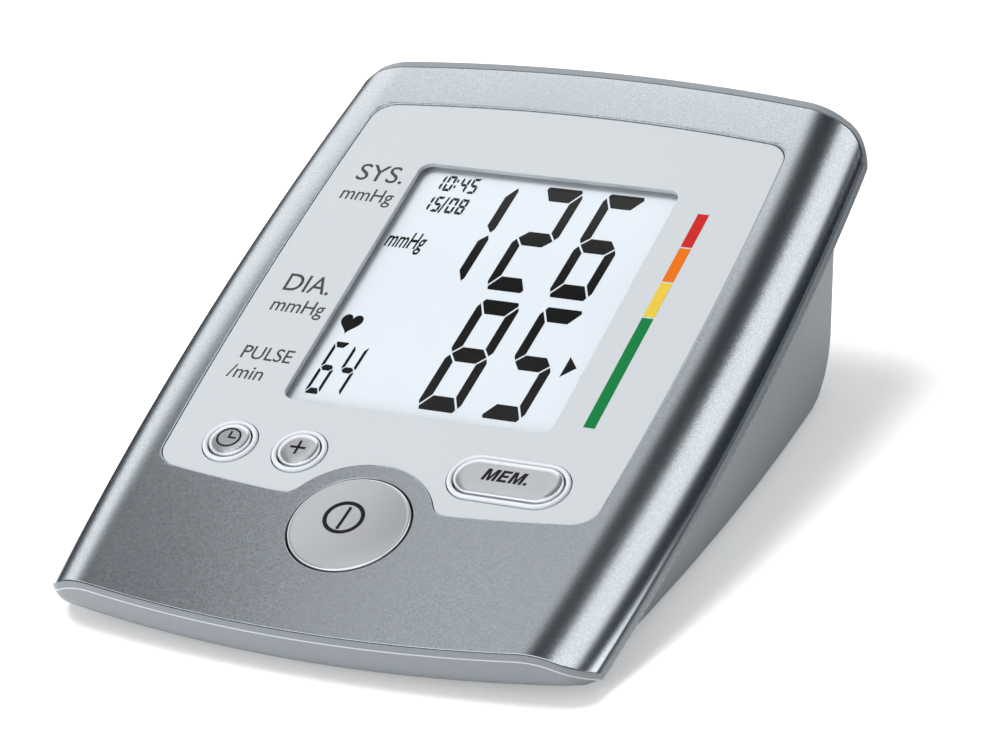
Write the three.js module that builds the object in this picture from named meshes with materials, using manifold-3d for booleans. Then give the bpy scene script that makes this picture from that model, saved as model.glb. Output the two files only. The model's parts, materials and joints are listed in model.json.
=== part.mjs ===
// An upper-arm blood pressure monitor: a tilted slab with a display and four buttons,
// standing on a wedge-shaped base that holds the pump and four round cells.
// Lengths are millimetres. +Z is up and the front, with the start button, faces -Y.
import * as THREE from 'three';
import { mergeVertices } from 'three/addons/utils/BufferGeometryUtils.js';
import Module from 'manifold-3d';

const wasm = await Module();
wasm.setup();

// Sizes run from the inside out: the display sets the width of the board and of the case round
// it, and the cells set the length of their bay, of the base and of the slab that lies on it.

// Clearance between neighbours, how far a form reaches into the one it is joined to, how far a
// cut reaches past its target, how far trimmed surfaces stay apart, and an outline's least corner
const FIT = 0.3;
const ROOT = 0.5;
const CLEAR = 3;
const HAIR = 0.05;
const LEAST_ROUND = 0.6;

// The tilted face plane has u to the right, v up the slope and w out of the face
const TILT = THREE.MathUtils.degToRad(18.2);
const FACE_LIFT = 10.6;

// Places up the slope: start button, front of the panel, row of small buttons, display
const START_AT = 27.7;
const START_TO_PANEL = 5.7;
const PANEL_TO_ROW = 11;
const ROW_TO_VIEW = 13.5;
const PANEL_FRONT = START_AT + START_TO_PANEL;
const SMALL_ROW = PANEL_FRONT + PANEL_TO_ROW;
const VIEW_FRONT = SMALL_ROW + ROW_TO_VIEW;

// Display stack
const VIEW_HALF = 28.9;
const VIEW_CORNER = 2.6;
const LENS_LAP = 1.5;
const LENS_THICK = 1;
const GLASS_LAP = 2.6;
const GLASS_THICK = 2.4;
const HOLDER_WALL = 1.6;
const HOLDER_LEDGE = 1.3;
const LEDGE_LAP = 2;
const STRIP_HALF = 26;
const STRIP_WIDTH = 2;
const STRIP_INSET = 2.2;

// Board and the studs that carry it beside the display
const BOARD_THICK = 1.6;
const BOARD_DEPTH = 8.4;
const BOARD_FRONT = 17;
const BOARD_BACK = 104;
const BOARD_CORNER = 4;
const STUD_RADIUS = 2;
const STUD_GAP = 0.9;
const STUD_EDGE = 0.7;
const HOLDER_HALF = VIEW_HALF + GLASS_LAP + FIT + HOLDER_WALL;
const BOARD_HALF = HOLDER_HALF + STUD_GAP + 2 * STUD_RADIUS + STUD_EDGE;

// Buttons
const TRAVEL = 0.7;
const STEM_GAP = 0.2;
const FLANGE_LAP = 1;
const FLANGE_THICK = 0.9;
const START_RADIUS = 12;
const START_EDGE = -0.15;
const START_DOME = 0.9;
const CLOCK_AT = -33.7;
const PLUS_AT = -18.5;
const MEMORY_AT = 26.2;
const SMALL_RADIUS = 4.2;
const MEMORY_RADIUS = 4.5;
const MEMORY_STRAIGHT = 13.4;
const SMALL_DOME = 0.75;
const CAP_SINK = 0.1;
const COLLAR_WIDTH = 1.05;
const COLLAR_RISE = 0.45;
const STEM_RADIUS = 1.8;
const SWITCH_SIZE = 6;
const SWITCH_HEIGHT = 2.2;
const PLUNGER_RADIUS = 1.6;
const PLUNGER_HEIGHT = 0.9;

// Cells, and the bay that holds them with a plate at each end and a spring behind each tail
const CELL_RADIUS = 7.1;
const CELL_LENGTH = 49.3;
const NUB_RADIUS = 2.7;
const NUB_LENGTH = 1.2;
const CELL_COUNT = 4;
const CELL_GAP = 1;
const CELL_PITCH = 2 * CELL_RADIUS + CELL_GAP;
const PLATE_THICK = 0.5;
const PLATE_HALF = 5;
const CELL_FRONT_GAP = PLATE_THICK + 2 * FIT;
const SPRING_ROOM = 6.6;
const SPRING_TURNS = 3;
const SPRING_WIRE = 0.35;
const SPRING_WIDE = 4;
const SPRING_NARROW = 2.2;
const CELL_ROOM = CELL_FRONT_GAP + NUB_LENGTH + CELL_LENGTH + SPRING_ROOM;
const BAY_LENGTH = CELL_ROOM + PLATE_THICK + FIT;
const BAY_FRONT = 72;
const BAY_BACK = BAY_FRONT + BAY_LENGTH;
const BAY_SIDE_GAP = 1.1;
const BAY_WALL = 1.6;
const BAY_HEAD_GAP = 0.5;
const BAY_HALF = ((CELL_COUNT - 1) / 2) * CELL_PITCH + CELL_RADIUS + BAY_SIDE_GAP;
const RIB_WIDTH = 1.2;
const RIB_HEIGHT = 3.4;
const RIB_END = 8;

// Base housing, round the posts at its sides and the bay behind
const POST_RADIUS = 4;
const BOARD_TO_POST = 1;
const FRONT_POST_U = BOARD_HALF + BOARD_TO_POST + POST_RADIUS;
const FRONT_POST_INSET = 9.9;
const BACK_POST_INSET = { u: 9.4, v: 41.6 };
const BASE_WALL = 2.2;
const BASE_LIFT = 1;
const BAY_TO_BACK = 18.6;
const BASE = {
  half: FRONT_POST_U + FRONT_POST_INSET,
  widestAt: 63,
  sideBow: 817,
  front: 12.2,
  frontBow: 290,
  frontCorner: 9,
  back: BAY_BACK + BAY_TO_BACK,
  backBow: 305,
  backCorner: 5,
};
const SIDE_DRAFT = 0.09;
const HEEL_RADIUS = 11;
const HEIGHT_LIMIT = 70;

// Slab, which overhangs the base at its sides and ends above its back
const SLAB_OVERHANG = 6.1;
const BACK_REACH = 1.73;
const HALF_WIDTH = BASE.half + SLAB_OVERHANG;
const FACE_LENGTH = (BASE.back + BACK_REACH) / Math.cos(TILT);
const WIDEST_AT = 88;
const SIDE_BOW = 905;
const FRONT_BOW = 300;
const BACK_BOW = 371;
const FRONT_CORNER = 6;
const BACK_CORNER = 4;
const ROLL_WIDTH = 11.8;
const ROLL_DROP = 9.5;

// Top cover
const COVER_WALL = 2.4;
const COVER_LIP = 1;
const COVER_LIP_REACH = 1.2;
const LIP_MARGIN = 1.5;
const SKIRT_DEPTH = 5.2;
const SKIRT_END = 9;
const POCKET_DEPTH = 1.55;

// Mid frame
const RIM_SIDE = 0.55;
const RIM_FRONT = 0.7;
const RIM_BACK = 2.4;
const RIM_SINK = 0.12;
const BAND_HEIGHT = 1.5;
const BAND_STEP = 0.35;
const RIM_BOTTOM = 11.3;
const RIM_NOSE = [[5.8, 0], [6.8, 0.25], [7.8, 0.95], [9.5, 2.45]];
const RIM_TUCK = 4;
const RIM_FLANGE = { side: -7.5, front: -13, back: -9.5 };
const RIM_THROAT = { side: -4.9, front: -5.2, back: -5.2 };

// Face panel, inside the rolled sides, and the display's opening in it
const PANEL_EDGE = 0.6;
const PANEL_HALF = HALF_WIDTH - ROLL_WIDTH - PANEL_EDGE;
const PANEL_BOW = 1000;
const PANEL_END = 12.2;
const PANEL_BACK = FACE_LENGTH - PANEL_END;
const PANEL_CORNER = 5;
const PANEL_THICK = 1;
const PANEL_SINK = 0.25;
const NOTCH_RADIUS = 16.5;
const NOTCH_FILLET = 3.5;
const VIEW_END = 18.7;
const VIEW_BACK = PANEL_BACK - VIEW_END;

// Screws, their posts, and the board's studs
const FRONT_POST = { u: FRONT_POST_U, v: 33 };
const BACK_POST = { u: BASE.half - BACK_POST_INSET.u, v: BASE.back - BACK_POST_INSET.v };
const POST_BORE = 3.2;
const POST_CAP = 3;
const SCREW_HOLE = 1.7;
const PILOT_RADIUS = 1.7;
const PILOT_DEPTH = 6;
const SCREW_RADIUS = 1.4;
const SCREW_LENGTH = 8;
const SCREW_HEAD = 2.6;
const HEAD_THICK = 2;
const STUD_BEHIND_ROW = 8;
const STUD_BEFORE_END = 8;
const STUD_U = BOARD_HALF - STUD_EDGE - STUD_RADIUS;
const STUD_PLACES = [
  { u: STUD_U, v: SMALL_ROW + STUD_BEHIND_ROW },
  { u: STUD_U, v: BOARD_BACK - STUD_BEFORE_END },
];

// Battery door, its axle, latch and grip
const DOOR_THICK = 1.8;
const DOOR_LAP = 2;
const AXLE_RADIUS = 0.7;
const AXLE_LENGTH = 2.4;
const AXLE_RISE = 1.4;
const HINGE_BOX = 3;
const LATCH_WIDTH = 12;
const LATCH_HEIGHT = 5;
const LATCH_THICK = 1.2;
const LATCH_ROOM = 1.2;
const TONGUE_ROOT = 1.5;
const GRIP_DEPTH = 0.7;
const GRIP_WIDTH = 1.6;
const GRIP_LENGTH = 16;
const GRIP_PITCH = 3.2;
const GRIP_COUNT = 5;
const GRIP_EDGE = 5;

// Feet
const FOOT_RADIUS = 5;
const FOOT_SEAT = 0.6;
const FRONT_FOOT_INSET = { x: 11.9, y: 11.8 };
const BACK_FOOT_INSET = { x: 12.9, y: 23.6 };
const FRONT_FOOT = { x: BASE.half - FRONT_FOOT_INSET.x, y: BASE.front + FRONT_FOOT_INSET.y };
const BACK_FOOT = { x: BASE.half - BACK_FOOT_INSET.x, y: BASE.back - BACK_FOOT_INSET.y };

// Heights in the base: door, cells, roof of the bay
const DOOR_LOW = BASE_LIFT;
const DOOR_HIGH = DOOR_LOW + DOOR_THICK;
const CELL_Z = DOOR_HIGH + 2 * FIT + CELL_RADIUS;
const BAY_ROOF = CELL_Z + CELL_RADIUS + BAY_HEAD_GAP;
const BAY_TOP = BAY_ROOF + BAY_WALL;
const BAY_LOW = DOOR_HIGH + FIT;

// Pump on its cradle over the bay, with its motor at the right
const MOTOR_RADIUS = 10;
const MOTOR_LENGTH = 28;
const BEARING_RADIUS = 3.3;
const BEARING_LENGTH = 1.5;
const HEAD_LENGTH = 19;
const HEAD_SIDE = 8.4;
const PUMP_RIGHT = 31;
const PUMP_INSET = 7.5;
const SADDLE_BED = 0.7;
const SADDLE_WIDTH = 16;
const SADDLE_LENGTH = 34;
const SADDLE_BELOW_AXIS = 3.3;
const PUMP_AT = {
  y: BAY_BACK - PUMP_INSET,
  z: BAY_TOP + FIT + SADDLE_BED + FIT + MOTOR_RADIUS,
};

// Valve, pressure sensor, socket and the hoses between them
const HOSE_RADIUS = 2;
const HOSE_BORE = 1.1;
const NOZZLE_RADIUS = 0.7;
const NOZZLE_LENGTH = 3.6;
const HOSE_LEAD = 4.4;
const VALVE_SIZE = { x: 9, y: 12, z: 9.5 };
const VALVE_BEFORE_PUMP = 19.5;
const VALVE_AT = { x: -27, y: PUMP_AT.y - VALVE_BEFORE_PUMP };
const SENSOR_SIZE = { u: 7, v: 8, w: 4.2 };
const SENSOR_OFF_BAY = 2.8;
const SENSOR_INSET = 40;
const SENSOR_AT = { u: -BAY_HALF - BAY_WALL - SENSOR_OFF_BAY, v: BOARD_FRONT + SENSOR_INSET };
const SENSOR_RUN = 21;
const SOCKET_BEFORE_VALVE = 12;
const SOCKET_AT = { y: VALVE_AT.y - SOCKET_BEFORE_VALVE, z: 15 };
const SOCKET_RADIUS = 5.4;
const SOCKET_BORE = 3.5;
const SOCKET_DEPTH = 12;
const SOCKET_END = 1.6;
const SOCKET_FLANGE = 7;
const SOCKET_FLANGE_THICK = 1.4;
const SOCKET_PROUD = 0.4;

// Fineness of round stretches
const FINE = 32;
const ROUND = 24;
const MEDIUM = 16;
const SMALL = 10;
const BOW_STEPS = 5;
const SIDE_STEPS = 6;
const CORNER_STEPS = 4;
const DOME_STEPS = 4;
const NOTCH_STEPS = 14;
const HALF_ROUND_STEPS = 9;
const ROLL_STEPS = 6;
const ARCH_STATIONS = 6;
const SPRING_STEPS = 7;
const SPRING_SIDES = 4;
const HOSE_STEPS = 12;
const HOSE_SIDES = 8;
const BORE_SIDES = 6;

// The frame's origin: middle of the footprint, on the table
const sin = Math.sin(TILT);
const cos = Math.cos(TILT);
const REAR_REACH = (FACE_LENGTH + RIM_BACK - BAND_STEP) * cos + RIM_NOSE[0][0] * sin;
const FRONT_REACH = RIM_FRONT * cos;
const MID_Y = (REAR_REACH - FRONT_REACH) / 2;

const finish = (color, roughness, metalness = 0) => (
  new THREE.MeshStandardMaterial({ color, roughness, metalness }));
const FINISHES = {
  silver: () => finish(0xaab0b5, 0.34, 0.75),
  rimGrey: () => finish(0x8f969b, 0.42, 0.2),
  baseGrey: () => finish(0x9aa3a6, 0.55),
  panel: () => finish(0xd6dbe0, 0.38),
  white: () => finish(0xf2f4f6, 0.18),
  button: () => finish(0xb0b2bd, 0.3, 0.5),
  lens: () => finish(0xeef3f8, 0.05),
  lcd: () => finish(0xe9eff6, 0.25),
  board: () => finish(0x1f6b3a, 0.5),
  black: () => finish(0x1d1f22, 0.6),
  metal: () => finish(0xc4c8cc, 0.28, 0.9),
  rubber: () => finish(0x2b2d30, 0.85),
  cell: () => finish(0x3b5f8f, 0.35, 0.3),
  natural: () => finish(0xe3ded0, 0.6),
};

// A closed geometry becomes a solid, with its shared corners merged and empty triangles dropped
function toSolid(geometry) {
  const bare = geometry.clone();
  bare.deleteAttribute('normal');
  bare.deleteAttribute('uv');
  const merged = mergeVertices(bare, 1e-4);
  const index = merged.index.array;
  const kept = [];
  for (let i = 0; i < index.length; i += 3) {
    const [a, b, c] = [index[i], index[i + 1], index[i + 2]];
    if (a !== b && b !== c && c !== a) kept.push(a, b, c);
  }
  return new wasm.Manifold(new wasm.Mesh({
    numProp: 3,
    vertProperties: new Float32Array(merged.attributes.position.array),
    triVerts: new Uint32Array(kept),
  }));
}

function toMesh(name, solid, material) {
  const { vertProperties, triVerts } = solid.getMesh();
  const geometry = new THREE.BufferGeometry();
  geometry.setAttribute('position', new THREE.BufferAttribute(vertProperties, 3));
  geometry.setIndex(new THREE.BufferAttribute(triVerts, 1));
  geometry.computeVertexNormals();
  const mesh = new THREE.Mesh(geometry, material);
  mesh.name = name;
  return mesh;
}

// Joins a list of solids into one
const join = (first, ...others) => others.reduce((sum, next) => sum.add(next), first);

// Takes a list of solids out of the first
const cut = (first, ...others) => others.reduce((rest, next) => rest.subtract(next), first);

function block(x0, x1, y0, y1, z0, z1) {
  const geometry = new THREE.BoxGeometry(x1 - x0, y1 - y0, z1 - z0);
  return toSolid(geometry.translate((x0 + x1) / 2, (y0 + y1) / 2, (z0 + z1) / 2));
}

// A round bar along the third axis
function rod(x, y, z0, z1, radius, sides = ROUND, endRadius = radius) {
  const geometry = new THREE.CylinderGeometry(endRadius, radius, z1 - z0, sides);
  return toSolid(geometry.rotateX(Math.PI / 2).translate(x, y, (z0 + z1) / 2));
}

// A round bar along the first axis
function barX(x0, x1, y, z, radius, sides = ROUND) {
  const geometry = new THREE.CylinderGeometry(radius, radius, x1 - x0, sides);
  return toSolid(geometry.rotateZ(Math.PI / 2).translate((x0 + x1) / 2, y, z));
}

// A round bar along the second axis
function barY(x, y0, y1, z, radius, sides = ROUND) {
  const geometry = new THREE.CylinderGeometry(radius, radius, y1 - y0, sides);
  return toSolid(geometry.translate(x, (y0 + y1) / 2, z));
}

function prism(points, low, high) {
  const geometry = new THREE.ExtrudeGeometry(new THREE.Shape(points), {
    depth: high - low,
    bevelEnabled: false,
  });
  return toSolid(geometry.translate(0, 0, low));
}

// A profile of [radius, height] pairs turned about the third axis at (x, y)
function turned(profile, x, y, sides = FINE) {
  const points = profile.map(([r, h]) => new THREE.Vector2(r, h));
  const geometry = new THREE.LatheGeometry(points, sides);
  return toSolid(geometry.rotateX(Math.PI / 2).translate(x, y, 0));
}

// Skins a row of closed loops with equal counts, and caps both ends in the plane that flat() gives
function loft(loops, flat) {
  const count = loops[0].length;
  const positions = loops.flat().flatMap((p) => [p.x, p.y, p.z]);
  const index = [];
  for (let level = 0; level + 1 < loops.length; level += 1) {
    for (let i = 0; i < count; i += 1) {
      const a = level * count + i;
      const b = level * count + ((i + 1) % count);
      index.push(a, b, b + count, a, b + count, a + count);
    }
  }
  const last = (loops.length - 1) * count;
  const lowCap = THREE.ShapeUtils.triangulateShape(loops[0].map(flat), []);
  const highCap = THREE.ShapeUtils.triangulateShape(loops.at(-1).map(flat), []);
  lowCap.forEach(([a, b, c]) => index.push(a, c, b));
  highCap.forEach(([a, b, c]) => index.push(last + a, last + b, last + c));
  const geometry = new THREE.BufferGeometry();
  geometry.setAttribute('position', new THREE.Float32BufferAttribute(positions, 3));
  if (signedVolume(positions, index) < 0) index.reverse();
  geometry.setIndex(index);
  return toSolid(geometry);
}

function signedVolume(positions, index) {
  const corner = (i) => new THREE.Vector3().fromArray(positions, 3 * i);
  let sum = 0;
  for (let i = 0; i < index.length; i += 3) {
    sum += corner(index[i]).dot(corner(index[i + 1]).cross(corner(index[i + 2])));
  }
  return sum / 6;
}

// From the face plane to the standing object
function faceToWorld(u, v, w) {
  return new THREE.Vector3(u, v * cos - w * sin, FACE_LIFT + v * sin + w * cos);
}

function arc(cx, cy, radius, from, to, steps) {
  return Array.from({ length: steps + 1 }, (_, i) => {
    const angle = from + ((to - from) * i) / steps;
    return new THREE.Vector2(cx + radius * Math.cos(angle), cy + radius * Math.sin(angle));
  });
}

// The right-hand meeting point of two circles
function meeting(a, ra, b, rb) {
  const gap = a.distanceTo(b);
  const along = (ra * ra - rb * rb + gap * gap) / (2 * gap);
  const across = Math.sqrt(Math.max(ra * ra - along * along, 0));
  const dir = b.clone().sub(a).divideScalar(gap);
  const foot = a.clone().addScaledVector(dir, along);
  const side = new THREE.Vector2(-dir.y, dir.x);
  const one = foot.clone().addScaledVector(side, across);
  const two = foot.clone().addScaledVector(side, -across);
  return one.x > two.x ? one : two;
}

// A rectangle with four bowed sides and four round corners, as one counter-clockwise loop.
// Growth moves each side out along its own normal.
function bowed(form, growth) {
  const sideCentre = new THREE.Vector2(form.half - form.sideBow, form.widestAt);
  const sideRadius = form.sideBow + growth.side;
  const frontCentre = new THREE.Vector2(0, form.front + form.frontBow);
  const frontRadius = form.frontBow + growth.front;
  const backCentre = new THREE.Vector2(0, form.back - form.backBow);
  const backRadius = form.backBow + growth.back;
  const lowGrown = form.frontCorner + (growth.side + growth.front) / 2;
  const highGrown = form.backCorner + (growth.side + growth.back) / 2;
  const lowRound = Math.max(lowGrown, LEAST_ROUND);
  const highRound = Math.max(highGrown, LEAST_ROUND);
  const low = meeting(sideCentre, sideRadius - lowRound, frontCentre, frontRadius - lowRound);
  const high = meeting(sideCentre, sideRadius - highRound, backCentre, backRadius - highRound);
  const frontTurn = low.clone().sub(frontCentre).angle();
  const lowTurn = low.clone().sub(sideCentre).angle();
  const highTurn = high.clone().sub(sideCentre).angle();
  const backTurn = high.clone().sub(backCentre).angle();
  const whole = 2 * Math.PI;
  const right = [
    ...arc(frontCentre.x, frontCentre.y, frontRadius, 1.5 * Math.PI, frontTurn, BOW_STEPS),
    ...arc(low.x, low.y, lowRound, frontTurn, lowTurn, CORNER_STEPS).slice(1),
    ...arc(sideCentre.x, sideCentre.y, sideRadius, lowTurn - whole, highTurn, SIDE_STEPS).slice(1),
    ...arc(high.x, high.y, highRound, highTurn, backTurn, CORNER_STEPS).slice(1),
    ...arc(backCentre.x, backCentre.y, backRadius, backTurn, Math.PI / 2, BOW_STEPS).slice(1),
  ];
  const left = right.slice(0, -1).map((p) => new THREE.Vector2(-p.x, p.y)).reverse();
  return [...right.slice(1), ...left];
}

const SLAB = {
  half: HALF_WIDTH,
  widestAt: WIDEST_AT,
  sideBow: SIDE_BOW,
  front: 0,
  frontBow: FRONT_BOW,
  frontCorner: FRONT_CORNER,
  back: FACE_LENGTH,
  backBow: BACK_BOW,
  backCorner: BACK_CORNER,
};

const even = (g) => ({ side: g, front: g, back: g });
const atLevel = (points, w) => points.map((p) => new THREE.Vector3(p.x, p.y, w));
const flatXY = (p) => new THREE.Vector2(p.x, p.y);
const flatXZ = (p) => new THREE.Vector2(p.x, p.z);

// Half the slab's width at a place up the slope
function sideHalf(v) {
  return HALF_WIDTH - SIDE_BOW + Math.sqrt(SIDE_BOW ** 2 - (v - WIDEST_AT) ** 2);
}

// Everything below an arched surface: flat in the middle, rolled down at both sides
function archBody(grow, lift) {
  const width = ROLL_WIDTH + grow;
  const drop = ROLL_DROP + Math.min(grow, 0);
  const far = 4 * RIM_BOTTOM;
  const loops = Array.from({ length: ARCH_STATIONS + 1 }, (_, s) => {
    const v = -far / 2 + ((FACE_LENGTH + far) * s) / ARCH_STATIONS;
    const half = sideHalf(THREE.MathUtils.clamp(v, 0, FACE_LENGTH)) + grow;
    const roll = Array.from({ length: ROLL_STEPS + 1 }, (_, i) => {
      const turn = (Math.PI / 2) * (1 - i / ROLL_STEPS);
      return [half - width + width * Math.sin(turn), lift - drop * (1 - Math.cos(turn))];
    });
    const right = [[half, -far], ...roll];
    const left = [...right].reverse().map(([u, w]) => [-u, w]);
    return [...right, ...left].map(([u, w]) => new THREE.Vector3(u, v, w));
  });
  return loft(loops, flatXZ);
}

// The slab's outline with its front and back stepped in below a thin lip
function coverEnvelope(side, grow, low) {
  const reach = grow - COVER_LIP_REACH;
  const wide = prism(bowed(SLAB, { side, front: grow, back: grow }), low, CLEAR);
  const lip = wide.subtract(archBody(LIP_MARGIN, -COVER_LIP - grow));
  return lip.add(prism(bowed(SLAB, { side, front: reach, back: reach }), low, CLEAR));
}

// The room under the cover, inside its side walls and its shorter front and back walls
function coverRoom(grow) {
  const reach = -COVER_LIP_REACH - COVER_WALL - grow;
  const inside = archBody(-COVER_WALL - grow, -COVER_WALL - grow).intersect(
    prism(bowed(SLAB, { side: 0, front: reach, back: reach }), -2 * RIM_BOTTOM, 0));
  const ends = [
    [-SKIRT_END, SKIRT_END - grow],
    [FACE_LENGTH - SKIRT_END + grow, FACE_LENGTH + SKIRT_END],
  ].map(([from, to]) => block(
    -2 * HALF_WIDTH, 2 * HALF_WIDTH, from, to, -2 * RIM_BOTTOM, -SKIRT_DEPTH - grow));
  return join(inside, ...ends);
}

const PANEL = {
  half: PANEL_HALF,
  widestAt: WIDEST_AT,
  sideBow: PANEL_BOW,
  front: PANEL_FRONT,
  frontBow: FRONT_BOW,
  frontCorner: PANEL_CORNER,
  back: PANEL_BACK,
  backBow: BACK_BOW,
  backCorner: PANEL_CORNER,
};

// The panel's outline, bowed like the slab and notched round the start button
function panelOutline(grow) {
  const base = bowed(PANEL, even(grow));
  const notch = NOTCH_RADIUS - grow;
  const fillet = NOTCH_FILLET + grow;
  const bowCentre = PANEL_FRONT + FRONT_BOW;
  const filletCentre = meeting(
    new THREE.Vector2(0, START_AT), notch + fillet,
    new THREE.Vector2(0, bowCentre), FRONT_BOW + grow - fillet);
  const onBow = Math.atan2(filletCentre.y - bowCentre, filletCentre.x);
  const edge = (FRONT_BOW + grow) * Math.cos(onBow);
  const toStart = Math.atan2(START_AT - filletCentre.y, -filletCentre.x) + 2 * Math.PI;
  const up = toStart - Math.PI;
  const fromNotch = arc(filletCentre.x, filletCentre.y, fillet, toStart, onBow + 2 * Math.PI,
    CORNER_STEPS);
  const overStart = arc(0, START_AT, notch, Math.PI - up, up, NOTCH_STEPS);
  const mirrored = [...fromNotch].reverse().map((p) => new THREE.Vector2(-p.x, p.y));
  const outer = base.filter((p) => p.y > PANEL_BACK / 2 || Math.abs(p.x) > edge + LEAST_ROUND);
  const turn = outer.findIndex((p, i) => p.x < 0 && p.y < PANEL_BACK / 2
    && i + 1 < outer.length && outer[i + 1].x > 0);
  const ordered = turn < 0 ? outer : [...outer.slice(turn + 1), ...outer.slice(0, turn + 1)];
  return [...ordered, ...mirrored, ...overStart.slice(1, -1), ...fromNotch];
}

function roundedBox(u0, u1, v0, v1, radius) {
  const quarter = Math.PI / 2;
  return [
    ...arc(u1 - radius, v0 + radius, radius, -quarter, 0, CORNER_STEPS),
    ...arc(u1 - radius, v1 - radius, radius, 0, quarter, CORNER_STEPS),
    ...arc(u0 + radius, v1 - radius, radius, quarter, 2 * quarter, CORNER_STEPS),
    ...arc(u0 + radius, v0 + radius, radius, 2 * quarter, 3 * quarter, CORNER_STEPS),
  ];
}

// Two half circles joined by straight sides along u
function stadium(u, v, radius, straight) {
  const quarter = Math.PI / 2;
  return [
    ...arc(u + straight / 2, v, radius, -quarter, quarter, HALF_ROUND_STEPS),
    ...arc(u - straight / 2, v, radius, quarter, 3 * quarter, HALF_ROUND_STEPS),
  ];
}

// Depths in the face stack, below the face plane
const PANEL_LOW = -PANEL_SINK - PANEL_THICK;
const LENS_HIGH = PANEL_LOW - FIT;
const LENS_LOW = LENS_HIGH - LENS_THICK;
const GLASS_HIGH = LENS_LOW - FIT;
const GLASS_LOW = GLASS_HIGH - GLASS_THICK;
const BOARD_HIGH = -BOARD_DEPTH;
const BOARD_LOW = BOARD_HIGH - BOARD_THICK;
const BOSS_LOW = -RIM_BOTTOM;
const POST_HIGH = BOSS_LOW - FIT;
const SWITCH_LOW = BOARD_HIGH + FIT;
const PLUNGER_HIGH = SWITCH_LOW + SWITCH_HEIGHT + PLUNGER_HEIGHT;
const STEM_LOW = PLUNGER_HIGH + TRAVEL + STEM_GAP;
const FLANGE_HIGH = -COVER_WALL - FIT;
const FLANGE_LOW = FLANGE_HIGH - FLANGE_THICK;

const SMALL_BUTTONS = [
  { key: 'clock', u: CLOCK_AT, radius: SMALL_RADIUS, straight: 0 },
  { key: 'plus', u: PLUS_AT, radius: SMALL_RADIUS, straight: 0 },
  { key: 'memory', u: MEMORY_AT, radius: MEMORY_RADIUS, straight: MEMORY_STRAIGHT },
];
const POSTS = [FRONT_POST, BACK_POST].flatMap(({ u, v }) => [{ u: -u, v }, { u, v }]);
const STUDS = STUD_PLACES.flatMap(({ u, v }) => [{ u: -u, v }, { u, v }]);
const viewBox = (lap) => roundedBox(
  -VIEW_HALF - lap, VIEW_HALF + lap, VIEW_FRONT - lap, VIEW_BACK + lap, VIEW_CORNER);
const collarRadius = (button) => button.radius + FIT + COLLAR_WIDTH;

function topCover() {
  const skin = cut(archBody(HAIR, 0).intersect(coverEnvelope(0, 0, -ROLL_DROP)), coverRoom(0));
  const bosses = POSTS.map(({ u, v }) => rod(u, v, BOSS_LOW, -COVER_WALL + ROOT, POST_RADIUS));
  const studs = STUDS.map(({ u, v }) => (
    rod(u, v, BOARD_HIGH + FIT, -COVER_WALL + ROOT, STUD_RADIUS, SMALL)));
  const pilots = POSTS.map(({ u, v }) => (
    rod(u, v, BOSS_LOW - CLEAR, BOSS_LOW + PILOT_DEPTH, PILOT_RADIUS, SMALL)));
  const keyways = SMALL_BUTTONS.map((button) => prism(
    stadium(button.u, SMALL_ROW, button.radius + FIT, button.straight),
    -CLEAR, 0));
  return cut(
    join(skin, ...bosses, ...studs),
    ...pilots,
    prism(panelOutline(FIT), -POCKET_DEPTH, CLEAR),
    prism(viewBox(LENS_LAP + FIT), -CLEAR, 0),
    rod(0, START_AT, -CLEAR, CLEAR, START_RADIUS + FIT, FINE),
    ...keyways);
}

// The rim's outside: upright band, lower face and rounded nose, as outlines at a row of depths.
// A step sets its front and back in, and there its sides reach past the rim.
function rimEnvelope(step) {
  const side = step > 0 ? LIP_MARGIN + HAIR : RIM_SIDE;
  const grow = (setback) => ({
    side,
    front: RIM_FRONT - step - setback,
    back: RIM_BACK - step - setback,
  });
  const nose = [[RIM_BOTTOM, RIM_TUCK], ...[...RIM_NOSE].reverse()].map(([depth, setback]) => (
    atLevel(bowed(SLAB, grow(setback)), -depth)));
  return loft([...nose, atLevel(bowed(SLAB, grow(0)), CLEAR)], flatXY);
}

function midFrame() {
  const outer = rimEnvelope(0).intersect(archBody(RIM_SIDE + HAIR, -RIM_SINK));
  const recess = archBody(LIP_MARGIN, -RIM_SINK - BAND_HEIGHT).subtract(rimEnvelope(BAND_STEP));
  const coverSeat = coverEnvelope(LIP_MARGIN, FIT, -ROLL_DROP - FIT).subtract(coverRoom(FIT));
  const throat = prism(bowed(SLAB, RIM_THROAT), -ROLL_DROP - FIT, CLEAR);
  const floor = prism(bowed(SLAB, RIM_FLANGE), -RIM_BOTTOM - CLEAR, 0);
  return cut(outer, recess, coverSeat, throat, floor);
}

function facePanel() {
  const collars = SMALL_BUTTONS.map((button) => prism(
    stadium(button.u, SMALL_ROW, collarRadius(button) + FIT, button.straight), -CLEAR, CLEAR));
  return cut(
    prism(panelOutline(0), PANEL_LOW, -PANEL_SINK),
    prism(viewBox(0), -CLEAR, CLEAR),
    ...collars);
}

// A rounded white collar that stands a little above the panel round a small button
function collar(button) {
  const crown = -PANEL_SINK + COLLAR_RISE;
  const edge = COLLAR_WIDTH / 3;
  const corner = edge * (1 - Math.SQRT1_2);
  const ringAt = (grow, w) => atLevel(
    stadium(button.u, SMALL_ROW, button.radius + FIT + grow, button.straight), w);
  const outer = loft([
    ringAt(COLLAR_WIDTH, PANEL_LOW),
    ringAt(COLLAR_WIDTH, crown - edge),
    ringAt(COLLAR_WIDTH - corner, crown - corner),
    ringAt(COLLAR_WIDTH - edge, crown),
  ], flatXY);
  const inner = loft([
    ringAt(0, PANEL_LOW - CLEAR),
    ringAt(0, crown - edge),
    ringAt(corner, crown - corner),
    ringAt(edge, crown + corner),
  ], flatXY);
  return outer.subtract(inner);
}

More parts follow.
